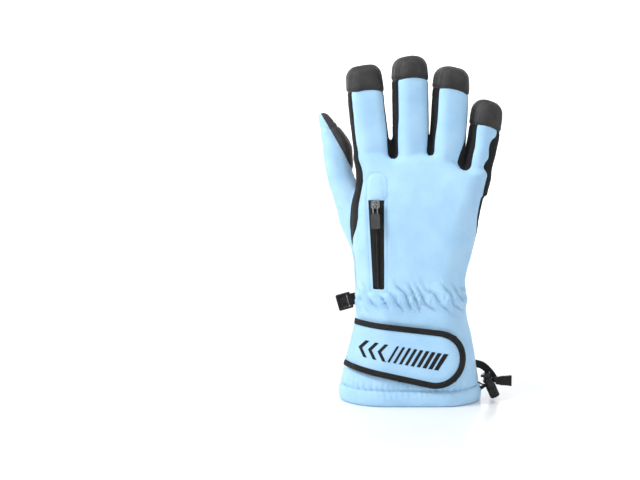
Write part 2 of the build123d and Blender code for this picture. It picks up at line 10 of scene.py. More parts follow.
import bpy
import numpy as np
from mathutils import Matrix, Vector


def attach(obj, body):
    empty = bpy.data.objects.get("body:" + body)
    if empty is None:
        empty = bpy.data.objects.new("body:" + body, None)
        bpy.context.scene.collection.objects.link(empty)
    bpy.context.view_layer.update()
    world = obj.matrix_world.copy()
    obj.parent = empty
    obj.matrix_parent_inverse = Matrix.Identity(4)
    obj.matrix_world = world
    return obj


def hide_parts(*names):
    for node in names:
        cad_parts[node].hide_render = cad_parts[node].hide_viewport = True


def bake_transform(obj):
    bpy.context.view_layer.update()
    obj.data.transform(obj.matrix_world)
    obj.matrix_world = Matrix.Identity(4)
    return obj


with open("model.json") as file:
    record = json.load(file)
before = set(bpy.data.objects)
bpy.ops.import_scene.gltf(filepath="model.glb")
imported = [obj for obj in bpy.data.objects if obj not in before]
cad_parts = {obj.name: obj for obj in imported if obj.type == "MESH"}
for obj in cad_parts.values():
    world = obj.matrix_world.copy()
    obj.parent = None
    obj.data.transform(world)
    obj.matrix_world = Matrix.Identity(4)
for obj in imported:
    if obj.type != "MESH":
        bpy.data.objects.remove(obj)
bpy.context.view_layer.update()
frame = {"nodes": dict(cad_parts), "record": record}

MM = 0.001
STEP = 1.25       # spacing of the fabric surface's points


# ---------------------------------------------------------------- camera, light and floor
def look_at(obj, target):
    """Turns a camera or a light towards a place."""
    obj.rotation_mode = "QUATERNION"
    obj.rotation_quaternion = (Vector(target) - obj.location).to_track_quat("-Z", "Y")


scene = bpy.context.scene
camera_data = bpy.data.cameras.new("camera")
camera_data.lens = 63.28
camera_data.sensor_width = 36
camera = bpy.data.objects.new("camera", camera_data)
camera.location = (-0.072, -0.8966, 0.206)
look_at(camera, (-0.072, 0, 0.1276))
scene.collection.objects.link(camera)
scene.camera = camera
scene.view_settings.view_transform = "Standard"


def soft_light(name, place, target, size, power):
    """A rectangular area light, in metres and watts."""
    data = bpy.data.lights.new(name, "AREA")
    data.shape = "RECTANGLE"
    data.size, data.size_y = size
    data.energy = power
    light = bpy.data.objects.new(name, data)
    light.location = place
    look_at(light, target)
    scene.collection.objects.link(light)


soft_light("key", (-0.80, -0.36, 0.95), (0.0, 0, 0.13), (0.28, 0.34), 11.5)
soft_light("front", (0.0, -1.4, 0.95), (0.0, 0, 0.18), (0.5, 0.9), 4.0)
soft_light("fill", (1.2, -0.7, 0.5), (0.0, 0, 0.13), (0.6, 0.9), 1.8)
soft_light("top", (0.05, -0.1, 1.4), (0.0, 0, 0.13), (0.7, 0.5), 4.0)
soft_light("rear", (0.3, 1.3, 0.9), (0.0, 0, 0.15), (1.2, 0.9), 4)

world = bpy.data.worlds.new("world")
scene.world = world
world.use_nodes = True
background = world.node_tree.nodes["Background"]
background.inputs["Color"].default_value = (1, 1, 1, 1)
background.inputs["Strength"].default_value = 0.16


# ---------------------------------------------------------------- materials
def material(name, colour, rough, spec=0.5, metallic=0.0, sheen=0.0, coat=0.0):
    mat = bpy.data.materials.new(name)
    mat.use_nodes = True
    shader = mat.node_tree.nodes["Principled BSDF"]
    shader.inputs["Base Color"].default_value = (*colour, 1)
    shader.inputs["Roughness"].default_value = rough
    shader.inputs["Specular IOR Level"].default_value = spec
    shader.inputs["Metallic"].default_value = metallic
    if sheen:
        shader.inputs["Sheen Weight"].default_value = sheen
        shader.inputs["Sheen Roughness"].default_value = 0.45
    if coat:
        shader.inputs["Coat Weight"].default_value = coat
        shader.inputs["Coat Roughness"].default_value = 0.12
    return mat


def link(tree, a, b):
    tree.links.new(a, b)


def in_object(tree, socket):
    """Feeds a texture or mapping the object's own coordinates."""
    link(tree, tree.nodes.new("ShaderNodeTexCoord").outputs["Object"], socket)


def noise_texture(tree, scale, detail=3.0, rough=0.55):
    texture = tree.nodes.new("ShaderNodeTexNoise")
    texture.inputs["Scale"].default_value = scale
    texture.inputs["Detail"].default_value = detail
    texture.inputs["Roughness"].default_value = rough
    in_object(tree, texture.inputs["Vector"])
    return texture.outputs["Fac"]


def wave_texture(tree, scale, turn):
    """Straight bands across a direction, for weave and knit."""
    mapping = tree.nodes.new("ShaderNodeMapping")
    mapping.inputs["Rotation"].default_value = turn
    in_object(tree, mapping.inputs["Vector"])
    texture = tree.nodes.new("ShaderNodeTexWave")
    texture.wave_type = "BANDS"
    texture.bands_direction = "X"
    texture.inputs["Scale"].default_value = scale
    texture.inputs["Distortion"].default_value = 0.6
    texture.inputs["Detail"].default_value = 1
    texture.inputs["Detail Scale"].default_value = 2
    link(tree, mapping.outputs["Vector"], texture.inputs["Vector"])
    return texture.outputs["Fac"]


def grain_texture(tree, scale):
    """Distance to the edge of a cell, for leather grain."""
    texture = tree.nodes.new("ShaderNodeTexVoronoi")
    texture.feature = "DISTANCE_TO_EDGE"
    texture.inputs["Scale"].default_value = scale
    in_object(tree, texture.inputs["Vector"])
    return texture.outputs["Distance"]


def ramp(tree, fac, stops):
    """A colour or grey ramp; stops are (position, colour or grey)."""
    made = tree.nodes.new("ShaderNodeValToRGB")
    elements = made.color_ramp.elements
    while len(elements) < len(stops):
        elements.new(0.5)
    for element, (position, value) in zip(elements, stops):
        element.position = position
        element.color = (*value, 1) if isinstance(value, tuple) else (value, value, value, 1)
    link(tree, fac, made.inputs["Fac"])
    return made.outputs["Color"]


def arithmetic(tree, operation, a, b):
    made = tree.nodes.new("ShaderNodeMath")
    made.operation = operation
    for socket, value in zip(made.inputs, (a, b)):
        if isinstance(value, (int, float)):
            socket.default_value = value
        else:
            link(tree, value, socket)
    return made.outputs["Value"]


def bump(mat, height, distance):
    """Raises the surface by the height texture, without moving it."""
    tree = mat.node_tree
    made = tree.nodes.new("ShaderNodeBump")
    made.inputs["Distance"].default_value = distance
    made.inputs["Strength"].default_value = 1.0
    link(tree, height, made.inputs["Height"])
    link(tree, made.outputs["Normal"], tree.nodes["Principled BSDF"].inputs["Normal"])


def shade(mat, socket, value):
    link(mat.node_tree, value, mat.node_tree.nodes["Principled BSDF"].inputs[socket])


def tinted(mat, fac, dark, light, low=0.3, high=0.7):
    shade(mat, "Base Color", ramp(mat.node_tree, fac, [(low, dark), (high, light)]))


def roughened(mat, fac, low, high):
    shade(mat, "Roughness", ramp(mat.node_tree, fac, [(0.25, low), (0.75, high)]))


def softshell(name, dark, light, rough):
    """Brushed polyester with a fine twill."""
    mat = material(name, light, rough, spec=0.35, sheen=0.25)
    tree = mat.node_tree
    tinted(mat, noise_texture(tree, 55, 4), dark, light)
    roughened(mat, noise_texture(tree, 240, 2), rough - 0.08, rough + 0.1)
    one_way, other_way = wave_texture(tree, 560, (0, 0.72, 0)), wave_texture(tree, 520, (0, -0.8, 0))
    twill = arithmetic(tree, "ADD", one_way, other_way)
    fuzz = noise_texture(tree, 1900, 3)
    bump(mat, arithmetic(tree, "ADD", arithmetic(tree, "MULTIPLY", twill, 0.5), fuzz), 0.00009)
    return mat


def leather(name, dark, light, rough_low, rough_high, scale, depth):
    """Grained synthetic leather, paler in random patches."""
    mat = material(name, light, rough_high, spec=0.45)
    tree = mat.node_tree
    grain = grain_texture(tree, scale)
    wear = noise_texture(tree, 70, 5, 0.6)
    height = arithmetic(tree, "ADD", ramp(tree, grain, [(0.0, 0.0), (0.16, 1.0)]),
                        arithmetic(tree, "MULTIPLY", noise_texture(tree, scale * 2.6, 3), 0.6))
    tinted(mat, wear, dark, light, 0.35, 0.7)
    roughened(mat, wear, rough_high, rough_low)
    bump(mat, height, depth)
    return mat


def knit(name, dark, light, rough, scale, depth=0.00012, sheen=0.3):
    """Rows of rounded loops."""
    dim = max(light) < 0.06
    mat = material(name, light, rough, spec=0.12 if dim else 0.3, sheen=0.04 if dim else sheen)
    tree = mat.node_tree
    across, upward = wave_texture(tree, scale, (0, 0, 0)), wave_texture(tree, scale, (0, 1.5708, 0))
    rows = arithmetic(tree, "MULTIPLY", across, upward)
    uneven = arithmetic(tree, "ADD", arithmetic(tree, "MULTIPLY", rows, 0.5), noise_texture(tree, 90, 4))
    tinted(mat, uneven, dark, light, 0.3, 0.9)
    fuzz = arithmetic(tree, "MULTIPLY", noise_texture(tree, 1500, 2), 0.5)
    bump(mat, arithmetic(tree, "ADD", rows, fuzz), depth)
    return mat


def moulded(name, colour, rough, scuff=1.35, coat=0.0, metallic=0.0):
    """Moulded plastic or cast metal with a faint texture and paler scuffed patches here and there."""
    mat = material(name, colour, rough, 0.5 if max(colour) > 0.2 else 0.22, metallic, coat=coat)
    tree = mat.node_tree
    cloud = noise_texture(tree, 180, 5, 0.65)
    tinted(mat, cloud, colour, tuple(min(1, c * scuff + 0.004) for c in colour), 0.45, 0.75)
    roughened(mat, cloud, rough - 0.06, rough + 0.14)
    bump(mat, noise_texture(tree, 2600, 2), 0.00003)
    return mat


# Each slot's kind of material, with its colours and settings
RECIPES = {
    "softshell_blue": (softshell, (0.365, 0.625, 0.89), (0.44, 0.70, 0.935), 0.6),
    "leather_black": (leather, (0.026, 0.026, 0.027), (0.050, 0.050, 0.051), 0.42, 0.6, 900, 0.0001),
    "fourchette_black": (knit, (0.010, 0.010, 0.011), (0.022, 0.022, 0.024), 0.75, 420),
    "cap_black": (leather, (0.020, 0.020, 0.021), (0.038, 0.038, 0.039), 0.46, 0.62, 1300, 0.00007),
    "insulation_white": (knit, (0.72, 0.72, 0.70), (0.85, 0.85, 0.83), 0.9, 60, 0.0006),
    "lining_grey": (knit, (0.10, 0.10, 0.11), (0.17, 0.17, 0.18), 0.85, 300, 0.00012, 0.6),
    "elastic_white": (knit, (0.66, 0.66, 0.66), (0.82, 0.82, 0.82), 0.8, 260),
    "zip_tape_black": (knit, (0.010, 0.010, 0.011), (0.024, 0.024, 0.026), 0.7, 700, 0.00009),
    "zip_coil_black": (moulded, (0.014, 0.014, 0.015), 0.35),
    "slider_metal": (moulded, (0.42, 0.42, 0.425), 0.13, 1.2, 0.0, 1.0),
    "pull_grey": (moulded, (0.055, 0.056, 0.058), 0.42),
    "pocket_fabric": (knit, (0.05, 0.05, 0.055), (0.09, 0.09, 0.095), 0.8, 500),
    "strap_blue": (softshell, (0.36, 0.62, 0.885), (0.425, 0.685, 0.93), 0.58),
    "binding_black": (knit, (0.011, 0.011, 0.012), (0.026, 0.026, 0.028), 0.62, 620),
    "hook_black": (knit, (0.012, 0.012, 0.013), (0.03, 0.03, 0.032), 0.85, 380, 0.0005),
    "loop_black": (knit, (0.012, 0.012, 0.013), (0.034, 0.034, 0.036), 0.95, 240, 0.0006, 0.8),
    "cord_black": (knit, (0.012, 0.012, 0.013), (0.032, 0.032, 0.034), 0.6, 900, 0.00014),
    "webbing_black": (knit, (0.012, 0.012, 0.013), (0.030, 0.030, 0.032), 0.65, 480, 0.0002),
    "lock_black": (moulded, (0.009, 0.009, 0.010), 0.22, 1.35, 0.12),
    "spring_steel": (moulded, (0.5, 0.5, 0.5), 0.3, 1.2, 0.0, 1.0),
    "clip_black": (moulded, (0.008, 0.008, 0.009), 0.16, 1.35, 0.2),
    "thread_black": (knit, (0.020, 0.020, 0.021), (0.055, 0.055, 0.058), 0.5, 1500, 0.00005),
    "thread_blue": (knit, (0.26, 0.50, 0.74), (0.36, 0.62, 0.86), 0.55, 1500, 0.00005),
    "thread_pale": (knit, (0.52, 0.57, 0.62), (0.74, 0.79, 0.84), 0.55, 1500, 0.00005),
}
MATERIALS = {name: make(name, *values) for name, (make, *values) in RECIPES.items()}
NODE_SLOTS = {entry["node"]: entry["material_slot"] for entry in frame["record"]["subparts"]}

# The floor is a wide disc that curves up into a pale wall all round, in metres.
FLAT_R, CURVE_R = 2.4, 1.3
WALL_TOP = (4.2, 4.0)       # radius and height
RING_PITCH, TURNS = 0.4, 72
GLOW_FROM_Y = 1.2           # the wall glows behind the glove only
profile = [(0.0, 0.0)] + [(RING_PITCH * i, 0.0) for i in range(1, 7)]
for bend in np.linspace(0.1, 1.45, 12):
    profile.append((FLAT_R + CURVE_R * math.sin(bend), CURVE_R - CURVE_R * math.cos(bend)))
profile.append(WALL_TOP)
stage_points, stage_faces = [], []
for radius, height in profile:
    for i in range(TURNS):
        angle = 2 * math.pi * i / TURNS
        stage_points.append((radius * math.cos(angle), radius * math.sin(angle), height))
for row in range(len(profile) - 1):
    for i in range(TURNS):
        a, b = row * TURNS + i, row * TURNS + (i + 1) % TURNS
        stage_faces.append((a, b, b + TURNS, a + TURNS))
stage_mesh = bpy.data.meshes.new("studio_floor")
stage_mesh.from_pydata(stage_points, [], stage_faces)
stage_mesh.shade_smooth()
floor = bpy.data.objects.new("studio_floor", stage_mesh)
scene.collection.objects.link(floor)
for name, emission in (("studio_floor", 0.03), ("studio_wall", 0.85)):
    paint = material(name, (0.88, 0.885, 0.89), 0.22, spec=0.4)
    shader = paint.node_tree.nodes["Principled BSDF"]
    shader.inputs["Emission Color"].default_value = (1, 1, 1, 1)
    shader.inputs["Emission Strength"].default_value = emission
    stage_mesh.materials.append(paint)
for face in stage_mesh.polygons:
    face.material_index = int(face.center.y > GLOW_FROM_Y)

# ---------------------------------------------------------------- the glove's shape
# Body of the glove: height, middle in X, width, depth and corner radius of each level
LEVELS = np.array([
    (-10, 0.5, 111.5, 70.4, 34), (-4, 0.5, 111, 70, 34), (14, 0.4, 110, 69, 33.5), (32, 0.9, 103.8, 64.8, 31),
    (50, 1.6, 95.8, 59, 28.5), (66, 1.4, 89.4, 55, 26.5), (82, 1.0, 84.6, 51.5, 25), (103, 1.7, 87.8, 50, 24),
    (127, 3.1, 96.7, 48, 23), (152, 4.6, 101.7, 45.5, 21.5), (176, 9.0, 104.4, 38, 18),
    (200, 11.4, 111.2, 26, 12.4), (215, 11.4, 111.2, 20, 9.5)])
# The thumb: height, middle in X and Y, width, depth and corner radius
THUMB_LEVELS = np.array([
    (84, -35, 10, 12, 12, 5), (96, -34.5, 12, 17, 18, 8), (115, -31.5, 17, 29, 28, 12),
    (138, -36.5, 19, 37, 31, 13), (154, -42, 20, 34, 30, 13), (166, -49, 20.6, 27.5, 27.4, 11.5),
    (177, -54.5, 21, 22.4, 25, 10), (192, -56.9, 22, 23.4, 23, 10), (205, -58.8, 22, 22.6, 20.6, 9),
    (214, -62.6, 22, 18, 17.5, 6.8), (224.5, -68.0, 22, 9.5, 12, 3.8), (232, -71.6, 22, 4.4, 8, 1.9)])
# Fingers: root and tip of the middle line (X, Z), width, depth, twist, height of the bend above the root,
# height of the cap's lower edge with its slope, the tip's apex and fall to each side, the cloth's width
# beside the CAD finger's, and how far the cloth shifts across at the tip and at the root
FINGERS = {
    "index": dict(root=(-28.8, 197), tip=(-35.4, 266), width=24, depth=23, twist=9, bend=21,
                  cap=244.5, cap_slope=0, apex=0.5, fall=0.10, wide=1.14, shift=-2.9, base=-1.8),
    "middle": dict(root=(0.3, 193), tip=(-1.7, 273), width=23, depth=23, twist=15, bend=26,
                   cap=254, cap_slope=0, apex=1.6, fall=0.20, wide=1.17, shift=0.3, base=0.0),
    "ring": dict(root=(27.7, 190.7), tip=(31.0, 264.7), width=23, depth=23, twist=15, bend=27,
                 cap=245.5, cap_slope=-12, apex=-2.0, fall=0.20, wide=1.17, shift=1.2, base=0.6),
    "pinky": dict(root=(52.6, 181), tip=(58.9, 238.7), width=20.5, depth=21, twist=17, bend=25,
                  cap=217, cap_slope=-15, apex=-1.6, fall=0.22, wide=1.13, shift=2.3, base=-0.6)}
# Where the hand's cloth ends between the fingers: X and height
WEBS = np.array([
    (-60, 196), (-40, 196.5), (-13.6, 192.0), (15.1, 194.6), (41.8, 183.6), (60, 182), (80, 176)])
FINGER_CORNER = 8.4
TIP_ROUND = 6.6
WRIST_Z = 78
HEM_TOP = 11
GATHER_Z = 82               # middle of the wrist's gathers
THUMB_PIVOT = np.array((-54.5, 21, 177))
THUMB_LEAN = np.array((-0.30, 0.02, 0.954))
THUMB_SEAM = (np.array((-60, 20, 209)), np.array((0.865, 0, 0.503)))


def through(knots, values, at):
    """A smooth curve through the given levels, read at many places."""
    slopes = np.gradient(values, knots, axis=0)
    i = np.clip(np.searchsorted(knots, at) - 1, 0, len(knots) - 2)
    run = knots[i + 1] - knots[i]
    t = np.clip((at - knots[i]) / run, 0, 1)[:, None]
    run = run[:, None]
    return ((1 + 2 * t) * (1 - t) ** 2 * values[i] + t * (1 - t) ** 2 * run * slopes[i]
            + t * t * (3 - 2 * t) * values[i + 1] + t * t * (t - 1) * run * slopes[i + 1])


def smooth(low, high, value):
    t = np.clip((value - low) / (high - low), 0, 1)
    return t * t * (3 - 2 * t)


def rounded_rect(dx, dy, half_w, half_d, corner):
    """Signed distance to a rectangle with round corners."""
    qx = np.abs(dx) - half_w + corner
    qy = np.abs(dy) - half_d + corner
    return np.hypot(np.maximum(qx, 0), np.maximum(qy, 0)) + np.minimum(np.maximum(qx, qy), 0) - corner


def joined(a, b, radius):
    """Union of two fields with a fillet."""
    h = np.clip(0.5 + 0.5 * (b - a) / radius, 0, 1)
    return b + (a - b) * h - radius * h * (1 - h)


def common(a, b, radius):
    """Intersection of two fields with a rounded edge."""
    rounded = np.hypot(np.maximum(a + radius, 0), np.maximum(b + radius, 0))
    return np.minimum(np.maximum(a, b), -radius) + rounded


def local(name, p):
    """Points in a finger's own frame: across, front to back, along."""
    spec = FINGERS[name]
    (x0, z0), (x1, z1) = spec["root"], spec["tip"]
    lean, twist = math.atan2(x1 - x0, z1 - z0), math.radians(spec["twist"])
    c, s = math.cos(lean), math.sin(lean)
    tilt = np.array([[c, 0, s], [0, 1, 0], [-s, 0, c]])
    c, s = math.cos(twist), math.sin(twist)
    turn = np.array([[c, -s, 0], [s, c, 0], [0, 0, 1]])
    return (p - np.array((x0, 0, z0))) @ (tilt @ turn)


def finger_length(name):
    (x0, z0), (x1, z1) = FINGERS[name]["root"], FINGERS[name]["tip"]
    return math.hypot(x1 - x0, z1 - z0)


def finger_field(name, p):
    """How far each point is outside one finger."""
    spec = FINGERS[name]
    q = local(name, p)
    length = finger_length(name)
    along = q[:, 2] / length
    grown = smooth(0.0, 0.55, along)
    wide = spec["wide"] + 0.015 * (1 - grown)
    wide = wide - 0.10 * smooth(0.74, 1.0, along) - 0.2 * smooth(-2, -16, q[:, 2])
    deep = 1.04 - 0.04 * smooth(0.8, 1.0, along)
    across = q[:, 0] - spec["shift"] * grown - spec["base"] * (1 - grown)
    side = rounded_rect(across, q[:, 1], wide * spec["width"] / 2, deep * spec["depth"] / 2, FINGER_CORNER)
    fall = spec["fall"] * (np.sqrt((q[:, 0] - spec["apex"]) ** 2 + 9) - 3)
    top = length - fall - 0.10 * (np.sqrt(q[:, 1] ** 2 + 16) - 4)
    return np.maximum(common(side, q[:, 2] - top, TIP_ROUND), -q[:, 2] - 16)


def body_field(p):
    """How far each point is outside the hand and cuff."""
    z = p[:, 2]
    middle, width, depth, corner = through(LEVELS[:, 0], LEVELS[:, 1:], z).T
    side = rounded_rect(p[:, 0] - middle, p[:, 1], width / 2, depth / 2, corner)
    web = np.interp(p[:, 0], WEBS[:, 0], WEBS[:, 1])
    mid_depth = smooth(-7, -1, p[:, 1]) * smooth(13, 7, p[:, 1])
    web = web + 14 * mid_depth * smooth(-38, -30, p[:, 0]) * smooth(56, 48, p[:, 0])
    return common(side, z - web, 5.0)


def thumb_field(p):
    """How far each point is outside the thumb."""
    z = p[:, 2]
    x, y, width, depth, corner = through(THUMB_LEVELS[:, 0], THUMB_LEVELS[:, 1:], z).T
    side = rounded_rect(p[:, 0] - x, p[:, 1] - y, width / 2, depth / 2, corner)
    return common(np.maximum(side, 94 - z), z - 229, 3.0)


def field(p):
    """How far a point is outside the glove's outer face, near enough; negative inside."""
    body = body_field(p)
    thumb = thumb_field(p)
    whole = joined(body, thumb, np.interp(p[:, 2], (140, 176), (9.0, 0.8)))
    for name in FINGERS:
        whole = np.minimum(whole, joined(body, finger_field(name, p), 5.0))
    return whole


def gradient(function, p, reach=0.08):
    made = np.empty_like(p)
    for axis in range(3):
        shift = np.zeros(3)
        shift[axis] = reach
        made[:, axis] = (function(p + shift) - function(p - shift)) / (2 * reach)
    return made


def unit(v):
    return v / np.maximum(np.linalg.norm(v, axis=-1, keepdims=True), 1e-12)


def settle(function, p, rounds=4):
    """Moves points onto a field's zero surface."""
    for _ in range(rounds):
        slope = gradient(function, p)
        step = function(p)[:, None] * slope / np.maximum((slope ** 2).sum(1, keepdims=True), 0.05)
        p = p - np.clip(step, -1.5, 1.5)
    return p


def surface_net(function, low, high, step):
    """Quads over a field's zero surface, one point to each cell that the surface passes through."""
    axes = [np.arange(a, b, step) for a, b in zip(low, high)]
    shape = tuple(len(a) for a in axes)
    grid = np.stack(np.meshgrid(*axes, indexing="ij"), -1).reshape(-1, 3)
    values = np.concatenate([function(part) for part in np.array_split(grid, 12)]).reshape(shape)
    inside = values < 0
    cells = tuple(n - 1 for n in shape)
    corner = {c: tuple(slice(c[a], cells[a] + c[a]) for a in range(3)) for c in product((0, 1), repeat=3)}
    count = sum(inside[s].astype(np.int8) for s in corner.values())
    mixed = (count > 0) & (count < 8)
    index = np.full(cells, -1)
    index[mixed] = np.arange(mixed.sum())
    total, hits = np.zeros((mixed.sum(), 3)), np.zeros(mixed.sum())
    for a in corner:
        for axis in range(3):
            if a[axis]:
                continue
            b = tuple(1 if i == axis else c for i, c in enumerate(a))
            va, vb = values[corner[a]][mixed], values[corner[b]][mixed]
            crossing = (va < 0) != (vb < 0)
            t = np.where(crossing, va / np.where(crossing, va - vb, 1), 0)
            point = np.array(a, float) + t[:, None] * (np.arange(3) == axis)
            total += point * crossing[:, None]
            hits += crossing
    places = (np.argwhere(mixed) + total / hits[:, None]) * step + np.array(low, float)
    quads = []
    for axis in range(3):
        e, f = [a for a in range(3) if a != axis]
        here = [slice(1, n - 1) for n in shape]
        here[axis] = slice(0, shape[axis] - 1)
        ahead = list(here)
        ahead[axis] = slice(1, shape[axis])
        first, second = inside[tuple(here)], inside[tuple(ahead)]
        for flip, wanted in ((False, first & ~second), (True, ~first & second)):
            at = np.argwhere(wanted)
            at[:, e] += 1
            at[:, f] += 1
            ring = []
            for de, df in ((0, 0), (1, 0), (1, 1), (0, 1)):
                spot = at.copy()
                spot[:, e] -= de
                spot[:, f] -= df
                ring.append(index[tuple(spot.T)])
            quad = np.stack(ring, 1)
            quads.append(quad[:, ::-1] if flip == (axis != 1) else quad)
    return places, np.concatenate(quads)


def neighbours(quads, count):
    pairs = np.concatenate([quads[:, [i, (i + 1) % 4]] for i in range(4)])
    pairs = np.concatenate([pairs, pairs[:, ::-1]])
    return pairs, np.bincount(pairs[:, 0], minlength=count)


def relax(p, quads, share=0.5):
    """Each point moves towards the middle of those it is joined to."""
    pairs, count = neighbours(quads, len(p))
    mean = np.stack([np.bincount(pairs[:, 0], p[pairs[:, 1], a], len(p)) for a in range(3)], 1)
    return p + share * (mean / np.maximum(count, 1)[:, None] - p)


def triangles(quads):
    return np.concatenate([quads[:, [0, 1, 2]], quads[:, [0, 2, 3]]])


def normals_of(p, tris):
    n = np.cross(p[tris[:, 1]] - p[tris[:, 0]], p[tris[:, 2]] - p[tris[:, 0]])
    total = np.stack([sum(np.bincount(tris[:, c], n[:, a], len(p)) for c in range(3)) for a in range(3)], 1)
    return unit(total)


# Value noise from a seeded lattice
LATTICE = np.random.default_rng(7).random((32, 32, 32)) * 2 - 1


def cell_corners(q, eased=False):
    """The corners of the unit cell round each point, each with its share."""
    base = np.floor(q).astype(int)
    t = q - base
    if eased:
        t = t * t * (3 - 2 * t)
    for corner in product((0, 1), repeat=3):
        share = np.prod([t[:, a] if corner[a] else 1 - t[:, a] for a in range(3)], axis=0)
        yield base + np.array(corner), share


def noise(p, scale, offset=0.0):
    """Smooth value noise between -1 and 1, with bumps about as wide as the scale."""
    corners = cell_corners(p / scale + offset, eased=True)
    return sum(share * LATTICE[tuple((at % len(LATTICE)).T)] for at, share in corners)


# ---------------------------------------------------------------- panels, as fields over the surface
NAMES = list(FINGERS)


def regions(p):
    """Where each point lies among the glove's panels."""
    bodies = np.stack([finger_field(name, p) for name in NAMES])
    owner = bodies.argmin(0)
    body, thumb = body_field(p), thumb_field(p)
    found = dict(owner=owner, thumb=np.minimum(body, bodies.min(0)) - thumb, x=p[:, 0], y=p[:, 1], z=p[:, 2])
    across, depth, along, joint, cap = (np.zeros(len(p)) for _ in range(5))
    length = np.zeros(len(p))
    for i, name in enumerate(NAMES):
        mine = owner == i
        spec = FINGERS[name]
        q = local(name, p[mine])
        across[mine], depth[mine], along[mine] = q[:, 0], q[:, 1], q[:, 2]
        joint[mine] = q[:, 2] - (spec["bend"] - 18)
        length[mine] = finger_length(name)
        slope = math.radians(spec["cap_slope"])
        (x0, z0), (x1, z1) = spec["root"], spec["tip"]
        middle = x0 + (x1 - x0) * (spec["cap"] - z0) / (z1 - z0)
        arch = 1.6 * np.clip(1 - (q[:, 0] / 11) ** 2, 0, 1) * (q[:, 1] < 0)
        rise, shift = p[mine, 2] - spec["cap"], p[mine, 0] - middle
        cap[mine] = (rise * math.cos(slope) - shift * math.sin(slope)) - arch
    toward_finger = smooth(-18, 24, along)
    shares = np.exp(-np.maximum(bodies - bodies.min(0), 0) / 1.5)
    turned = np.stack([local(name, p)[:, 1] for name in NAMES])
    mixed_depth = (shares * turned).sum(0) / shares.sum(0)
    level = p[:, 1] * (1 - toward_finger) + mixed_depth * toward_finger
    found.update(across=across, along=along, joint=joint, cap=cap, length=length)
    thumb_side = smooth(-20, -34, p[:, 0]) * smooth(128, 140, p[:, 2]) * (1 - smooth(176, 206, p[:, 2]))
    pinky_side = 2.0 * smooth(20, 40, p[:, 0]) * smooth(118, 146, p[:, 2]) * (1 - smooth(200, 214, p[:, 2]))
    root_cloth = (1 - smooth(4, 34, along)) * toward_finger * smooth(2, -4, across) * 2.4
    pinky_strip = 3.0 * smooth(-2, 6, across) * smooth(8, 26, along) * (owner == NAMES.index("pinky"))
    wrist_turn = np.interp(p[:, 2], (114, 121, 132, 146), (9.0, 5.0, -5.0, -9.0))
    found["back_edge"] = (level + 4.0 * thumb_side - root_cloth + pinky_side - wrist_turn
                          - 1.8 * smooth(4, 24, along) + pinky_strip)
    found["palm_edge"] = level - (9.0 + 1.4 * smooth(length - 15, length - 5, along))
    found["thumb_seam"] = (p - THUMB_SEAM[0]) @ THUMB_SEAM[1]
    found["thumb_joint"] = (p - THUMB_PIVOT) @ THUMB_LEAN + 11
    found["level"] = level
    return found


# Pocket zip on the back of the hand
ZIP_TOP = (-28.35, 160.7)
ZIP_BOTTOM = (-26.3, 90.8)


def zip_side(p, spare=0.0):
    """Signed distance across the zip's window; negative inside it."""
    t = np.clip((ZIP_TOP[1] - p[:, 2]) / (ZIP_TOP[1] - ZIP_BOTTOM[1]), 0, 1)
    middle = ZIP_TOP[0] + t * (ZIP_BOTTOM[0] - ZIP_TOP[0])
    half = 6.25 + t * (4.3 - 6.25) + spare
    side = np.abs(p[:, 0] - middle) - half
    ends = np.maximum(p[:, 2] - ZIP_TOP[1] - spare, ZIP_BOTTOM[1] - spare - p[:, 2])
    return np.maximum(np.maximum(side, ends), p[:, 1] + 1)


def hood_edge(x, z, spare=0.0):
    """Signed distance to the outline of the hood over the zip's top; negative inside it."""
    low, high = ZIP_TOP[1] - 0.2 - spare, ZIP_TOP[1] + 19.3 + spare
    middle, half, corner = -27.95, 5.9 + spare, 4.6 + spare
    qx = np.abs(x - middle) - half + corner
    qz = np.where(z > high - corner, z - high + corner, -corner)
    top = np.hypot(np.maximum(qx, 0), np.maximum(qz, 0)) - corner
    side = np.abs(x - middle) - half
    inside = np.where(z > high - corner, top, side)
    return np.maximum(inside, low - z)


def zip_frame(p, spare):
    """The zip's window and its hood together, grown by the spare."""
    return np.minimum(zip_side(p, spare), np.maximum(hood_edge(p[:, 0], p[:, 2], spare), p[:, 1] + 1))


# Strap on the cuff's back
STRAP_END = (17.6, 37.2)
STRAP_RADIUS = 22.5
STRAP_SEWN_Y = -12.5
BINDING_W = 4.6


def strap_inset(p):
    """How far a point is inside the strap's outline; negative outside it."""
    (x, z), r = STRAP_END, STRAP_RADIUS
    dx, dz = p[:, 0] - x, p[:, 2] - z
    top, low = math.radians(6.5), math.radians(12)
    edge_top = r - (dx * math.sin(top) + dz * math.cos(top))
    edge_low = r - (dx * -math.sin(low) - dz * math.cos(low))
    end = r - np.hypot(dx, dz)
    straight = np.minimum(edge_top, edge_low)
    past_top = dx * math.cos(top) - dz * math.sin(top) > 0
    past_low = dx * math.cos(low) - dz * math.sin(low) > 0
    beyond = np.where(dz > 0, past_top, past_low)
    return np.where(beyond, end, straight)


def strap_covers(p):
    """How far a point is under the strap; negative outside it."""
    sewn = np.where(p[:, 0] < -20, STRAP_SEWN_Y - p[:, 1], 50)
    return np.minimum(strap_inset(p), sewn)


# ---------------------------------------------------------------- folds, seams and puff
def groove(distance, width, depth):
    """A soft valley along distance == 0."""
    return -depth * np.exp(-(distance / width) ** 2)


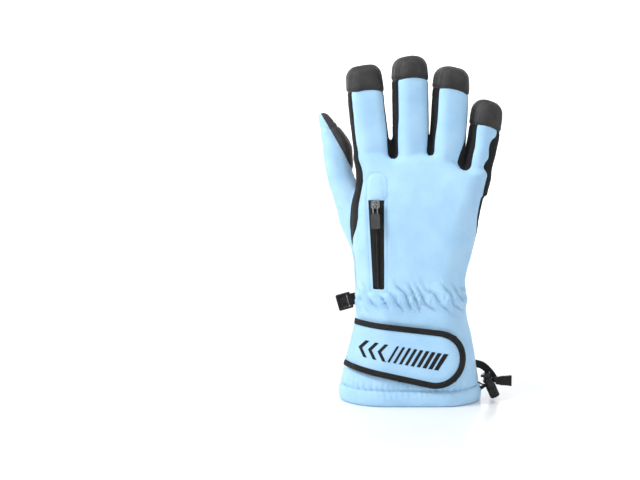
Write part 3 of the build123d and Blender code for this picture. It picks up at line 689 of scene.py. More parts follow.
def wrist_gathers(p, warp, bearing, strap, calm):
    """Gathers at the wrist, leaning from upper left to lower right on the back."""
    z = p[:, 2]
    near = np.exp(-((z - GATHER_Z) / np.where(z > GATHER_Z, 11.0, 7.5)) ** 2)
    phase = bearing * 0.66 + (z - 80) * 0.56 + warp
    ridge = np.minimum(np.abs(np.sin(phase / 2)) ** 0.7 * 1.6, 1.25) - 0.55
    small = np.abs(np.sin(bearing * 0.95 + (z - 80) * 0.5 + warp * 1.6)) - 0.6
    patchy = 0.8 + 0.45 * noise(p, 17, 21.3)
    out = near * (4.8 * ridge * patchy + 0.8 * small) * (1 - 0.75 * strap) * (0.3 + 0.7 * calm)
    return np.maximum(out, -1.9) * (1 - 0.75 * smooth(4, 12, p[:, 1]) * smooth(76, 80, z))


def soft_folds(p, palm, strap, calm):
    """Long soft folds in the loose cloth, and its fine unevenness."""
    z = p[:, 2]
    loose = smooth(20, 60, z) * (1 - smooth(180, 200, z)) + 0.55 * (1 - smooth(20, 60, z))
    stretched = p * np.array((1.0, 1.0, 0.62))
    folds = 0.8 * noise(stretched, 21, 5.5) + 0.34 * noise(stretched, 10, 12.2)
    yield folds * loose * (1 - 0.8 * strap) * (0.45 + 0.55 * calm)
    yield 0.18 * noise(p, 4.2, 17.0) * (0.5 + 0.5 * palm)


def seam_relief(p, r, in_hand, on_digit, on_thumb):
    """Seams pull in between puffed panels."""
    z = p[:, 2]
    sewn = groove(r["back_edge"], 1.15, 0.62) + groove(r["palm_edge"], 1.2, 0.7)
    yield sewn * np.maximum(in_hand, on_digit)
    yield 0.55 * np.clip(1 - (r["across"] / 10) ** 2, 0, 1) * on_digit * (1 - smooth(-6, 0, r["cap"]))
    yield groove(r["cap"], 1.0, 0.6) * on_digit * (r["palm_edge"] < 0)
    yield 0.45 * smooth(0.5, 2.2, r["cap"]) * on_digit * (r["palm_edge"] < 0)
    yield on_thumb * groove(r["thumb_seam"], 1.3, 0.7)
    yield groove(r["thumb"], 1.5, 0.75) * smooth(98, 110, z)
    yield groove(z - WRIST_Z, 1.1, 0.45) * (0.15 + 0.85 * smooth(2, 6, p[:, 1]))
    cuff_seam = (p[:, 1] - STRAP_SEWN_Y) * (p[:, 0] < 0) + 40 * (p[:, 0] >= 0)
    yield groove(cuff_seam, 1.1, 0.55) * (1 - smooth(70, 80, z))


def bend_creases(p, r, warp, palm, in_hand, on_digit, on_thumb):
    """Creases where the fingers, the thumb and the palm bend."""
    x, z = p[:, 0], p[:, 2]
    palm_face = smooth(3, 9, r["level"])
    for share, depth in ((0.34, 0.75), (0.66, 0.55)):
        crease = r["length"] * share + 0.8 * np.sin(r["across"] * 0.35 + share * 9)
        yield groove(r["along"] - crease, 1.1, depth) * on_digit * palm_face
        yield groove(r["along"] - crease - 4.2, 0.9, depth * 0.45) * on_digit * palm_face
    crumple = np.abs(np.sin(z * 0.42 + x * 0.1 + warp)) - 0.6
    yield 0.5 * crumple * on_thumb * np.exp(-((z - 152) / 13) ** 2)
    palm_folds = np.abs(np.sin(x * 0.2 + z * 0.16 + 1.4 * warp)) - 0.65
    yield 0.6 * palm_folds * palm * np.exp(-((z - 106) / 15) ** 2) * in_hand


def zip_channel(p):
    """A soft channel round the zip's window and its stitched frame."""
    on_back = p[:, 1] < 0
    yield groove(zip_side(p, 0.4), 1.3, 0.5) * on_back
    yield groove(zip_frame(p, 2.1), 0.9, 0.35) * on_back
    yield -0.9 * smooth(0.5, -1.5, zip_side(p, 0.2)) * on_back


def relief(p):
    """How far the cloth stands out from the even shape."""
    r = regions(p)
    z = p[:, 2]
    bearing = np.arctan2(p[:, 1], p[:, 0] - 1) * 34
    warp = 2.4 * noise(p, 13, 3.1) + 1.3 * noise(p, 6, 9.7)
    strap = smooth(-3, 2, strap_covers(p)) * (p[:, 1] < 2) * (z < 70)
    calm = smooth(1.0, 5, zip_side(p, 1.0))
    palm = smooth(2, 12, r["level"]) * smooth(80, 90, z)
    on_digit = smooth(0, 6, r["joint"] + 12)
    in_hand = smooth(0, 1, -r["thumb"]) * smooth(WRIST_Z + 10, WRIST_Z + 20, z)
    on_thumb = smooth(0, 1.2, r["thumb"])
    pucker = np.sin(bearing * 1.9 + 2.0 * noise(p, 7, 1.9))
    return sum((
        wrist_gathers(p, warp, bearing, strap, calm),
        *soft_folds(p, palm, strap, calm),
        *seam_relief(p, r, in_hand, on_digit, on_thumb),
        *bend_creases(p, r, warp, palm, in_hand, on_digit, on_thumb),
        blown(p) * (1 - 0.85 * strap) * (0.4 + 0.6 * calm),
        *zip_channel(p),
        0.5 * pucker * np.exp(-((z - 15) / 4.0) ** 2),
        groove(z - HEM_TOP - 1.6, 1.3, 0.9)))


# ---------------------------------------------------------------- the filled cloth, blown up
PUFF_CELL = 4.0
PUFF_LOW = np.array((-90.0, -50.0, 0.0))
PUFF_SHAPE = (46, 26, 74)
PUFF_STEP = 3.6             # spacing of the coarse copy's points
PUFF_SCALE = 0.01           # the copy is simulated at ten times life size
PUFF_FRAMES = 18
CLOTH_SETTINGS = dict(
    quality=4, mass=0.3, tension_stiffness=12, compression_stiffness=12, shear_stiffness=5,
    bending_stiffness=0.4, vertex_group_mass="held", pin_stiffness=3, shrink_min=-0.05,
    use_pressure=True, uniform_pressure_force=2.2)
LOW, HIGH = (-79, -40, 8.2), (74, 42, 279)      # the box that holds the glove's cloth


def corners_of(p):
    """The puff lattice's corners round each point, each with its share."""
    q = np.clip((p - PUFF_LOW) / PUFF_CELL, 0, np.array(PUFF_SHAPE) - 1.001)
    for at, share in cell_corners(q):
        yield np.ravel_multi_index(at.T, PUFF_SHAPE), share


def simulated_puff():
    """Blows up a coarse copy of the cloth, held along its seams.  Returns how far it rose, on a lattice."""
    total = np.zeros(int(np.prod(PUFF_SHAPE)))
    form, quads = surface_net(field, LOW, HIGH, PUFF_STEP)
    form = settle(field, relax(form, quads, 0.45))
    out = unit(gradient(field, form))
    r = regions(form)
    seam = np.minimum.reduce([
        np.abs(r["back_edge"]), np.abs(r["palm_edge"]), np.abs(r["cap"]) + 50 * (r["along"] < 30),
        np.abs(r["thumb"]), np.abs(form[:, 2] - WRIST_Z) + 1.0, form[:, 2] - 12,
        np.abs(zip_side(form, 1.0)) + 40 * (form[:, 1] > 0)])
    held = 1 - smooth(1.0, 3.2, seam)
    mesh = bpy.data.meshes.new("cloth_form")
    mesh.from_pydata((form * PUFF_SCALE).tolist(), [], quads.tolist())
    carrier = bpy.data.objects.new("cloth_form", mesh)
    scene.collection.objects.link(carrier)
    group = carrier.vertex_groups.new(name="held")
    for i in np.flatnonzero(held > 0.02):
        group.add([int(i)], float(held[i]), "REPLACE")
    cloth_mod = carrier.modifiers.new("cloth", "CLOTH")
    settings = cloth_mod.settings
    for key, value in CLOTH_SETTINGS.items():
        setattr(settings, key, value)
    settings.effector_weights.gravity = 0
    cloth_mod.collision_settings.use_collision = False
    cloth_mod.point_cache.frame_start = 1
    cloth_mod.point_cache.frame_end = PUFF_FRAMES
    for step in range(1, PUFF_FRAMES + 1):
        scene.frame_set(step)
    bpy.context.view_layer.update()
    ready = carrier.evaluated_get(bpy.context.evaluated_depsgraph_get()).to_mesh()
    ended = np.empty(len(ready.vertices) * 3)
    ready.vertices.foreach_get("co", ended)
    rise = ((ended.reshape(-1, 3) / PUFF_SCALE - form) * out).sum(1)
    carrier.modifiers.remove(cloth_mod)
    bpy.data.objects.remove(carrier)
    bpy.data.meshes.remove(mesh)
    scene.frame_set(1)
    rise = np.where(np.isfinite(rise), rise, 0)
    strong = max(np.percentile(np.abs(rise), 92), 0.2)
    rise = np.clip(rise / strong * 1.1, -0.9, 1.5) * (1 - held)
    share = np.full_like(total, 1e-6)
    for at, weight in corners_of(form):
        np.add.at(total, at, weight * rise)
        np.add.at(share, at, weight)
    return total / share


PUFF = np.zeros(int(np.prod(PUFF_SHAPE)))


def blown(p):
    """How far the filled cloth rose near each point."""
    return sum(weight * PUFF[at] for at, weight in corners_of(p))


def surface(p):
    """Points on the cloth: settled on the even shape, then lifted by the relief."""
    normal = unit(gradient(field, p))
    return p + normal * relief(p)[:, None]


PUFF = simulated_puff()
skin, skin_quads = surface_net(field, LOW, HIGH, STEP)
skin = relax(skin, skin_quads, 0.45)
skin = settle(field, skin)
cloth = surface(skin)
skin_tris = triangles(skin_quads)
cloth_normals = normals_of(cloth, skin_tris)
if (cloth_normals * unit(gradient(field, skin))).sum(1).mean() < 0:
    skin_tris = skin_tris[:, ::-1]
    cloth_normals = -cloth_normals


# ---------------------------------------------------------------- cutting and making meshes
def crossings(points, tris, values):
    """Where values pass zero on the triangles' edges.

    Returns the uncrossed triangles, the corners of the crossed ones with the lone one first, the numbers of
    each one's two crossing places, and those places.
    """
    values = np.where(np.abs(values) < 1e-4, 1e-4, values)
    side = values[tris] > 0
    count = side.sum(1)
    mixed = (count == 1) | (count == 2)
    whole, split, side, count = tris[~mixed], tris[mixed], side[mixed], count[mixed]
    lone = np.where(count == 1, side.argmax(1), side.argmin(1))
    row = np.arange(len(split))
    o, p, q = [split[row, (lone + k) % 3] for k in range(3)]
    pairs = np.sort(np.concatenate([np.stack([o, p], 1), np.stack([o, q], 1)]), 1)
    pairs, inverse = np.unique(pairs, axis=0, return_inverse=True)
    a, b = pairs.T
    t = (values[a] / (values[a] - values[b]))[:, None]
    return whole, (o, p, q), np.split(inverse.reshape(-1), 2), points[a] + t * (points[b] - points[a])


def cut(points, tris, values):
    """Splits triangles along values == 0.  Each row of points keeps all its columns."""
    whole, (o, p, q), (i, j), made = crossings(points, tris, values)
    i, j = i + len(points), j + len(points)
    tris = np.concatenate([whole, np.stack([o, i, j], 1), np.stack([i, p, q], 1), np.stack([i, q, j], 1)])
    return np.concatenate([points, made]), tris


def contours(points, tris, values):
    """Chains of points along values == 0."""
    _, _, ends, places = crossings(points, tris, values)
    links = {}
    for u, v in zip(*ends):
        links.setdefault(u, []).append(v)
        links.setdefault(v, []).append(u)
    chains, seen = [], set()
    for start in sorted(links, key=lambda k: len(links[k])):
        if start in seen:
            continue
        chain, here = [start], start
        seen.add(start)
        while True:
            ahead = [k for k in links[here] if k not in seen]
            if not ahead:
                break
            here = ahead[0]
            seen.add(here)
            chain.append(here)
        if len(chain) > 3:
            if len(chain) > 6 and start in links[here]:
                chain.append(start)
            chains.append(places[chain])
    return chains


def compact(points, tris):
    """Only the points that the triangles use."""
    used, inverse = np.unique(tris, return_inverse=True)
    return points[used], inverse.reshape(tris.shape)


def mesh_object(name, points, faces, mat, normals=None):
    """A Blender object from points in millimetres."""
    mesh = bpy.data.meshes.new(name)
    faces = np.asarray(faces)
    mesh.vertices.add(len(points))
    mesh.vertices.foreach_set("co", (np.asarray(points)[:, :3] * MM).astype(np.float32).ravel())
    sides = faces.shape[1]
    mesh.loops.add(faces.size)
    mesh.loops.foreach_set("vertex_index", faces.astype(np.int32).ravel())
    mesh.polygons.add(len(faces))
    mesh.polygons.foreach_set("loop_start", np.arange(0, faces.size, sides, dtype=np.int32))
    mesh.update(calc_edges=True)
    mesh.validate()
    mesh.shade_smooth()
    if normals is not None:
        mesh.normals_split_custom_set_from_vertices([tuple(n) for n in normals])
    mesh.materials.append(mat)
    obj = bpy.data.objects.new(name, mesh)
    scene.collection.objects.link(obj)
    return obj


def thickened(points, tris, thickness):
    """A sheet given a wall on its inner side, with rims.  Points carry their normals."""
    points, tris = compact(points, tris)
    outer, normal = points[:, :3], unit(points[:, 3:6])
    inner = outer - normal * np.reshape(thickness, (-1, 1))
    edges = np.concatenate([tris[:, [0, 1]], tris[:, [1, 2]], tris[:, [2, 0]]])
    key = np.sort(edges, 1)
    key = key[:, 0].astype(np.int64) * len(points) + key[:, 1]
    _, index, count = np.unique(key, return_index=True, return_counts=True)
    rim = edges[index[count == 1]]
    n = len(points)
    # The rims have their own points, so that their normals stay apart from the faces' own
    rim_used, rim_index = np.unique(rim, return_inverse=True)
    rim_index = rim_index.reshape(rim.shape)
    outer_rim, inner_rim = 2 * n, 2 * n + len(rim_used)
    a, b = rim_index.T
    wall = np.concatenate([np.stack([outer_rim + b, outer_rim + a, inner_rim + a], 1),
                           np.stack([outer_rim + b, inner_rim + a, inner_rim + b], 1)])
    every = np.concatenate([outer, inner, outer[rim_used], inner[rim_used]])
    faces = np.concatenate([tris, tris[:, ::-1] + n, wall])
    wall_normals = normals_of(every, wall)
    normals = np.concatenate([normal, -normal, wall_normals[2 * n:]])
    return every, faces, normals


fabric = np.concatenate([cloth, cloth_normals, skin], 1)
fabric_tris = skin_tris
ABOVE_CUFF = WRIST_Z - 3
CUTTING_LINES = (
    lambda r, p: np.where(r["z"] > ABOVE_CUFF, r["back_edge"], 5),
    lambda r, p: np.where(r["z"] > ABOVE_CUFF, r["palm_edge"], 5),
    lambda r, p: np.where(r["z"] > ABOVE_CUFF, r["thumb"], -5),
    lambda r, p: np.where(r["thumb"] > -1.5, r["thumb_seam"], 5),
    lambda r, p: np.where((r["z"] > 170) & (r["thumb"] < 0), r["joint"], -5),
    lambda r, p: np.where((r["z"] > 200) & (r["thumb"] < 0), r["cap"], -5),
    lambda r, p: np.where(r["thumb"] > -1.5, r["thumb_joint"], -5),
    lambda r, p: r["z"] - WRIST_Z,
    lambda r, p: r["z"] - HEM_TOP,
    lambda r, p: np.where(r["z"] < WRIST_Z + 3, r["y"], 5),
    lambda r, p: zip_side(p))
for cutting_line in CUTTING_LINES:
    even = fabric[:, 6:9]
    fabric, fabric_tris = cut(fabric, fabric_tris, cutting_line(regions(even), even))

middles = fabric[fabric_tris].mean(1)[:, 6:9]
r = regions(middles)
cuff = middles[:, 2] < WRIST_Z
thumb = ~cuff & (r["thumb"] > 0)
hand = ~cuff & ~thumb
digit = hand & (r["joint"] > 0)
cap = digit & (r["cap"] > 0)
palm = hand & (r["palm_edge"] > 0)
back = hand & (r["back_edge"] < 0)
side = hand & ~palm & ~back
above_hem = middles[:, 2] > HEM_TOP - 0.01
zip_window = zip_side(middles) < 0
thumb_tip = thumb & (r["thumb_joint"] > 0)
inner = r["thumb_seam"] > 0

# Bodies that carry a piece whole; the others are digits
RIGID = ("glove", "cuff_strap", "slider", "zip_pull", "cord_lock", "lock_button", "cord_end", "clip_loop",
         "clip", "clip_latch")
SHELL = 1.1


def bend_ends(body):
    """Where a digit's cloth starts and stops bending."""
    if body == "thumb_tip":
        return THUMB_PIVOT - THUMB_LEAN * 11, THUMB_PIVOT + THUMB_LEAN * 12
    name = body.split("_")[0]
    spec = FINGERS[name]
    (x0, z0), (x1, z1) = spec["root"], spec["tip"]
    axis = np.array((x1 - x0, 0, z1 - z0)) / finger_length(name)
    pivot = np.array((x0, 0, z0)) + axis * spec["bend"]
    return pivot - axis * 18, pivot + axis * 18


def finished(obj, body, nodes=(), ends=None):
    """Joins a piece to its body when that body is rigid and no ends are given; otherwise it only bakes the
    piece's transform, working out the ends of its bend without using them.
    """
    if ends is None and body in RIGID:
        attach(obj, body)
    else:
        start, end = bend_ends(body) if ends is None else np.array(ends)
        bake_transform(obj)
    if nodes:
        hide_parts(*nodes)
    return obj


def panel(name, chosen, slot, body, nodes, thickness=SHELL, source=None):
    """One cloth panel of the glove's outer shell, or of an inner layer given as the source."""
    points, tris = source if source else (fabric, fabric_tris)
    every, faces, shading = thickened(points, tris[chosen], thickness)
    return finished(mesh_object(name, every, faces, MATERIALS[slot], shading), body, nodes)


panel("hand_back", back & ~digit & ~zip_window, "softshell_blue", "glove", ["back_panel"])
panel("hand_palm", palm & ~digit, "leather_black", "glove", ["palm_panel"])
panel("hand_sides", side & ~digit, "fourchette_black", "glove", ["hand_gussets"])
panel("thumb_base_outer", thumb & ~thumb_tip & ~inner, "softshell_blue", "glove", ["thumb_base_panel"])
panel("thumb_base_inner", thumb & ~thumb_tip & inner, "leather_black", "glove", ["hand_gussets"])
thumb_nodes = ["thumb_outer_panel", "digit_creases"]
panel("thumb_outer", thumb_tip & ~inner, "softshell_blue", "thumb_tip", thumb_nodes)
panel("thumb_inner", thumb_tip & inner, "leather_black", "thumb_tip", ["thumb_inner_panel"])
cuff_y = r["y"] < 0
panel("cuff_front", cuff & above_hem & cuff_y, "softshell_blue", "glove", ["cuff_panels"])
panel("cuff_rear", cuff & above_hem & ~cuff_y, "softshell_blue", "glove", ["cuff_panels"])
for i, name in enumerate(NAMES):
    mine = digit & (r["owner"] == i)
    body = f"{name}_finger"
    panel(f"{name}_back_cloth", mine & back & ~cap, "softshell_blue", body, [f"{name}_back", "digit_creases"])
    panel(f"{name}_side_strips", mine & side & ~cap, "fourchette_black", body, [f"{name}_fourchettes"])
    panel(f"{name}_palm_leather", mine & palm, "leather_black", body, [f"{name}_palm"])
    panel(f"{name}_tip_cap", mine & ~palm & cap, "cap_black", body, [f"{name}_cap"])


# ---------------------------------------------------------------- wadding and lining
def layer_depth(p, hand_depth, digit_depth):
    """Depth of an inner layer: deeper in the hand and cuff than in the digits."""
    in_thumb = smooth(-6, 4, body_field(p) - thumb_field(p)) * smooth(100, 150, p[:, 2])
    in_digit = np.maximum(smooth(176, 198, p[:, 2]), in_thumb)
    return hand_depth + (digit_depth - hand_depth) * in_digit


INNER_STEP = 2.4


def inner_layer(kind, slot, hand_depth, digit_depth, hand_wall, digit_wall, low):
    """A soft layer under the shell, one piece for the hand and one for each digit."""
    def inside(p):
        under_gathers = 1.8 * np.exp(-((p[:, 2] - GATHER_Z) / 13) ** 2)
        return field(p) + layer_depth(p, hand_depth, digit_depth) + under_gathers

    points, quads = surface_net(inside, LOW[:2] + (low,), HIGH, INNER_STEP)
    points = settle(inside, relax(points, quads, 0.5), 3)
    tris = triangles(quads)
    normal = normals_of(points, tris)
    if (normal * unit(gradient(inside, points))).sum(1).mean() < 0:
        tris, normal = tris[:, ::-1], -normal
    sheet = np.concatenate([points, normal, points], 1)
    for cutting_line in (lambda r: np.where(r["z"] > 170, r["joint"], -5),
                         lambda r: np.where(r["thumb"] > -2.5, r["thumb_joint"], -5),
                         lambda r: r["z"] - low - INNER_STEP):
        sheet, tris = cut(sheet, tris, cutting_line(regions(sheet[:, 6:9])))
    centre = sheet[tris].mean(1)[:, 6:9]
    r = regions(centre)
    kept = centre[:, 2] > low + INNER_STEP
    on_thumb = (r["thumb"] > -1) & (r["thumb_joint"] > 0)
    on_digit = ~on_thumb & (r["joint"] > 0) & (r["z"] > 170)
    parts = [("hand", kept & ~on_thumb & ~on_digit, "glove"), ("thumb", on_thumb, "thumb_tip")]
    parts += [(name, on_digit & (r["owner"] == i), f"{name}_finger") for i, name in enumerate(NAMES)]
    for part, chosen, body in parts:
        if kind == "wadding":
            nodes = {"hand": ["hand_insulation_back", "hand_insulation_palm", "cuff_insulation"],
                     "thumb": ["thumb_insulation"]}.get(part, [f"{part}_insulation"])
        else:
            nodes = {"hand": ["lining"], "thumb": ["thumb_lining"]}.get(part, [f"{part}_lining"])
        used, tri = compact(sheet, tris[chosen])
        wall = layer_depth(used[:, 6:9], hand_wall, digit_wall)
        obj = panel(f"{part}_{kind}", slice(None), slot, body, nodes, wall, (used, tri))


inner_layer("wadding", "insulation_white", 2.0, 2.5, 3.4, 1.0, 9)
inner_layer("lining", "lining_grey", 6.4, 3.9, 0.7, 0.5, 2)

# ---------------------------------------------------------------- pieces laid on the cloth
def ring_points(bearing, z):
    """Points of the even shape of hand and cuff at bearings and heights, with their outward normals."""
    middle, width, depth, _ = through(LEVELS[:, 0], LEVELS[:, 1:], z).T
    p = np.stack([middle + np.cos(bearing) * width / 2, np.sin(bearing) * depth / 2, z], 1)
    for _ in range(6):
        slope = gradient(body_field, p)
        slope[:, 2] = 0
        p = p - body_field(p)[:, None] * slope / np.maximum((slope ** 2).sum(1, keepdims=True), 0.2)
    return p, unit(gradient(body_field, p))


def cloth_ring(bearing, z, lift):
    """The same places a little above the cloth, with their normals."""
    p, normal = ring_points(bearing, z)
    return p + normal * (lift + relief(p))[:, None], normal


def front_points(x, z):
    """Points of the even shape straight behind places in X and Z on the back, with their normals."""
    p = np.stack([x, np.full_like(x, -24.0), z], 1)
    for _ in range(6):
        slope = gradient(body_field, p)[:, 1]
        slope = np.where(np.abs(slope) < 0.25, 0.25 * np.sign(slope), slope)
        p[:, 1] -= np.clip(body_field(p) / slope, -4, 4)
    return p, unit(gradient(body_field, p))


def grid_faces(rows, columns, closed=False):
    """Triangles over a grid of points stored row by row."""
    i, j = np.meshgrid(np.arange(rows - 1), np.arange(columns if closed else columns - 1), indexing="ij")
    i, j = i.ravel(), j.ravel()
    k = (j + 1) % columns
    a, b, c, d = i * columns + j, i * columns + k, (i + 1) * columns + k, (i + 1) * columns + j
    return np.concatenate([np.stack([a, b, c], 1), np.stack([a, c, d], 1)])


def facing(points, normals, tris):
    """The triangles turned to face the way the normals point."""
    n = np.cross(points[tris[:, 1]] - points[tris[:, 0]], points[tris[:, 2]] - points[tris[:, 0]])
    wrong = (n * normals[tris[:, 0]]).sum(1) < 0
    tris = tris.copy()
    tris[wrong] = tris[wrong][:, ::-1]
    return tris


def raised(sheet, lift):
    """A sheet's points, lifted along the normals in its columns 3 to 5."""
    return sheet[:, :3] + sheet[:, 3:6] * np.reshape(lift, (-1, 1))


def laid(name, sheet, lift, tris, thickness, slot, body, nodes=(), ends=None):
    """A thick sheet laid over the glove at a height; its wall goes inwards from that face."""
    points = raised(sheet, lift)
    tris = facing(points, sheet[:, 3:6], tris)
    every, faces, shading = thickened(np.concatenate([points, normals_of(points, tris)], 1), tris, thickness)
    return finished(mesh_object(name, every, faces, MATERIALS[slot], shading), body, nodes, ends)


def resampled(line, pitch):
    """Even places along a polyline whose rows carry more columns after X, Y, Z."""
    steps = np.linalg.norm(np.diff(line[:, :3], axis=0), axis=1)
    run = np.concatenate([[0], np.cumsum(steps)])
    count = max(2, int(round(run[-1] / pitch)) + 1)
    at = np.linspace(0, run[-1], count)
    return np.stack([np.interp(at, run, line[:, c]) for c in range(line.shape[1])], 1)


# Along a rounded thread: the place, the girth and the bow there
CAPSULE = [(0.0, 0.25, 0.0), (0.12, 0.85, 0.35), (0.5, 1.0, 0.9), (0.88, 0.85, 0.35), (1.0, 0.25, 0.0)]


def capsules(starts, ends, normals, radius, arch=0.12):
    """Rounded threads from starts to ends, bowed a little outwards."""
    count, around = len(starts), 6
    along = ends - starts
    side = unit(np.cross(along, normals))
    up = unit(np.cross(side, along))
    points = []
    for t, girth, bow in CAPSULE:
        centre = starts + along * t + normals * bow * arch
        for k in range(around):
            a = 2 * math.pi * k / around
            points.append(centre + girth * radius * (math.cos(a) * side + math.sin(a) * up))
    points = np.stack(points, 1).reshape(-1, 3)
    per = len(CAPSULE) * around
    ring = []
    for row in range(len(CAPSULE) - 1):
        for k in range(around):
            a, b = row * around + k, row * around + (k + 1) % around
            ring.append((a, b, b + around, a + around))
    caps = [(0, 3, 2, 1), (0, 5, 4, 3)]
    last = per - around
    caps += [(last, last + 1, last + 2, last + 3), (last, last + 3, last + 4, last + 5)]
    template = np.array(ring + caps)
    faces = (template[None] + (np.arange(count) * per)[:, None, None]).reshape(-1, 4)
    return points, faces


class Threads:
    """Stitches gathered into one piece for each thread colour and body."""
    def __init__(self):
        self.groups = {}

    def add(self, key, starts, ends, normals, radius, arch=0.12):
        self.groups.setdefault(key, []).append(capsules(starts, ends, normals, radius, arch))

    def run(self, key, line, pitch=2.6, share=0.72, radius=0.24, lift=0.12):
        """A row of running stitches along a line with normals in columns 3 to 5."""
        if len(line) < 3:
            return
        places = resampled(line, pitch)
        p, n = places[:, :3] + unit(places[:, 3:6]) * lift, unit(places[:, 3:6])
        starts = p[:-1]
        self.add(key, starts, starts + (p[1:] - starts) * share, n[:-1], radius)

    def finish(self):
        for (colour, body), parts in sorted(self.groups.items()):
            points, faces, offset = [], [], 0
            for p, f in parts:
                points.append(p)
                faces.append(f + offset)
                offset += len(p)
            obj = mesh_object(f"{body}_{colour}_stitches", np.concatenate(points), np.concatenate(faces),
                              MATERIALS[f"thread_{colour}"])
            finished(obj, body, ends=STRAP_BEND if body == "cuff_strap" else None)


threads = Threads()
STRAP_BEND = ((-44.2, -13.0, 47), (-31.5, -23.5, 43.7))


def stitch(colour, body, mask, values, pitch, share, radius, lift):
    """Rows of stitches on the cut cloth where values pass zero, kept where the mask holds."""
    kept = fabric_tris[mask[fabric_tris].all(1)]
    for line in contours(fabric, kept, values):
        threads.run((colour, body), line, pitch, share, radius, lift)


f_regions = regions(fabric[:, 6:9])
f_z, f_thumb, f_palm = f_regions["z"], f_regions["thumb"], f_regions["palm_edge"]
on_hand = (f_z > WRIST_Z + 1) & (f_thumb < -0.4)
for i, name in enumerate(NAMES):
    body = f"{name}_finger"
    mine = (f_regions["owner"] == i) & (f_z > 185) & (f_thumb < -0.4)
    outer_digit = mine & (f_regions["joint"] > 0.4)
    for offset in (1.5, 2.7):
        stitch("black", body, outer_digit & (f_palm < -0.4), f_regions["cap"] - offset, 1.9, 0.7, 0.17, 0.05)
    stitch("black", body, outer_digit, f_palm - 1.5, 2.3, 0.7, 0.17, 0.05)
    edge = outer_digit & (f_regions["cap"] > 0.3) & (f_palm < -1)
    stitch("black", body, edge, f_regions["back_edge"] + 1.3, 2.1, 0.7, 0.16, 0.05)
root_zone = on_hand & (f_regions["joint"] < 0)
stitch("black", "glove", root_zone, f_palm - 1.6, 2.4, 0.7, 0.18, 0.05)
stitch("blue", "glove", root_zone & (f_z > 120), f_regions["back_edge"] + 1.5, 2.4, 0.68, 0.16, 0.02)
for part, zone in (("thumb_tip", f_regions["thumb_joint"] > 0.4), ("glove", f_regions["thumb_joint"] < -0.2)):
    zone = zone & (f_thumb > 0.5)
    stitch("pale", part, zone, f_regions["thumb_seam"] + 1.2, 2.2, 0.7, 0.17, 0.04)
    stitch("black", part, zone, f_regions["thumb_seam"] - 1.5, 2.2, 0.7, 0.17, 0.05)
stitch("black", "glove", on_hand & (f_regions["y"] > 2), -f_thumb - 1.8, 2.4, 0.7, 0.18, 0.05)

# Stitched frame round the zip and its hood
frame_zone = on_hand & (f_regions["y"] < -2)
stitch("blue", "glove", frame_zone, zip_frame(fabric[:, 6:9], 2.1), 1.9, 0.62, 0.24, 0.06)

# Zigzag that holds the wrist elastic on the palm side
ZIG_COUNT = 10
zig = np.linspace(math.radians(8), math.radians(172), 2 * ZIG_COUNT + 1)
zig_z = np.where(np.arange(len(zig)) % 2 == 0, 81.6, 89.6)
for repeat in (0.0, 0.004):
    between = np.linspace(0, 1, 4)
    for a in range(len(zig) - 1):
        leg_bearing = zig[a] + (zig[a + 1] - zig[a]) * between + repeat
        leg_z = zig_z[a] + (zig_z[a + 1] - zig_z[a]) * between
        p, n = cloth_ring(leg_bearing, leg_z, 0.2)
        threads.add(("pale", "glove"), p[:-1], p[:-1] + (p[1:] - p[:-1]) * 1.02, n[:-1], 0.26, 0.05)
# The seam under the palm's lower edge, and the hem's stitch line
around = np.linspace(math.radians(4), math.radians(176), 120)
p, n = cloth_ring(around, np.full_like(around, WRIST_Z - 1.1), 0.05)
threads.run(("pale", "glove"), np.concatenate([p, n], 1), 2.4, 0.8, 0.22, 0.05)
around = np.linspace(0, 2 * math.pi, 300)
p, n = cloth_ring(around, 13.0 + 0.25 * np.sin(around * 31), 0.05)
threads.run(("blue", "glove"), np.concatenate([p, n], 1), 3.0, 0.66, 0.2, 0.05)

# ---------------------------------------------------------------- hem
# The hem roll's section, as places outward of the cloth and heights
HEM_OUTER = [
    (-1.0, 12.2), (0.1, 12.0), (0.9, 11.3), (1.5, 10.0), (1.85, 8.2), (2.0, 6.2), (1.95, 4.2), (1.7, 2.4),
    (1.1, 1.0), (0.1, 0.2), (-1.4, 0.0), (-3.4, 0.0), (-5.6, 0.0), (-7.2, 0.25), (-8.2, 1.2), (-8.5, 3.0),
    (-8.5, 7.0), (-8.2, 10.0), (-7.4, 11.0)]
HEM_INNER_SIDE = [
    (-7.2, 9.8), (-7.3, 3.0), (-6.2, 1.5), (-3.4, 1.3), (-1.2, 1.5), (-0.1, 2.6), (0.5, 6.0), (-0.3, 9.6),
    (-1.1, 11.0)]
HEM_AROUND = 320
bearing = np.linspace(0, 2 * math.pi, HEM_AROUND, endpoint=False)
hem_points = []
for outward, height in HEM_OUTER + HEM_INNER_SIDE:
    even, normal = ring_points(bearing, np.full_like(bearing, max(height, 0.3)))
    face = smooth(-3, 1.5, outward)
    warp = 1.3 * noise(even, 9, 4.4)
    pucker = np.abs(np.sin(bearing * 37 + warp)) - 0.62
    strength = 0.5 * face * math.exp(-((height - 10.5) / 3.2) ** 2) + 0.12 * face
    swell = 0.25 * noise(even, 16, 2.2) * face
    flat_normal = unit(normal * np.array((1, 1, 0)))
    placed = even + flat_normal * (outward + strength * pucker + swell)[:, None]
    placed[:, 2] = np.maximum(height + 0.22 * face * math.exp(-((height - 11.5) / 1.5) ** 2) * pucker, 0.0)
    hem_points.append(placed)
hem_points = np.concatenate(hem_points)
order = np.append(np.arange(len(HEM_OUTER) + len(HEM_INNER_SIDE)), 0) * HEM_AROUND
hem_quads = []
for a, b in zip(order[:-1], order[1:]):
    j = np.arange(HEM_AROUND)
    k = (j + 1) % HEM_AROUND
    hem_quads.append(np.stack([a + j, b + j, b + k, a + k], 1))
hem = mesh_object("hem_roll", hem_points, np.concatenate(hem_quads), MATERIALS["softshell_blue"])
finished(hem, "glove", ["hem_band"])

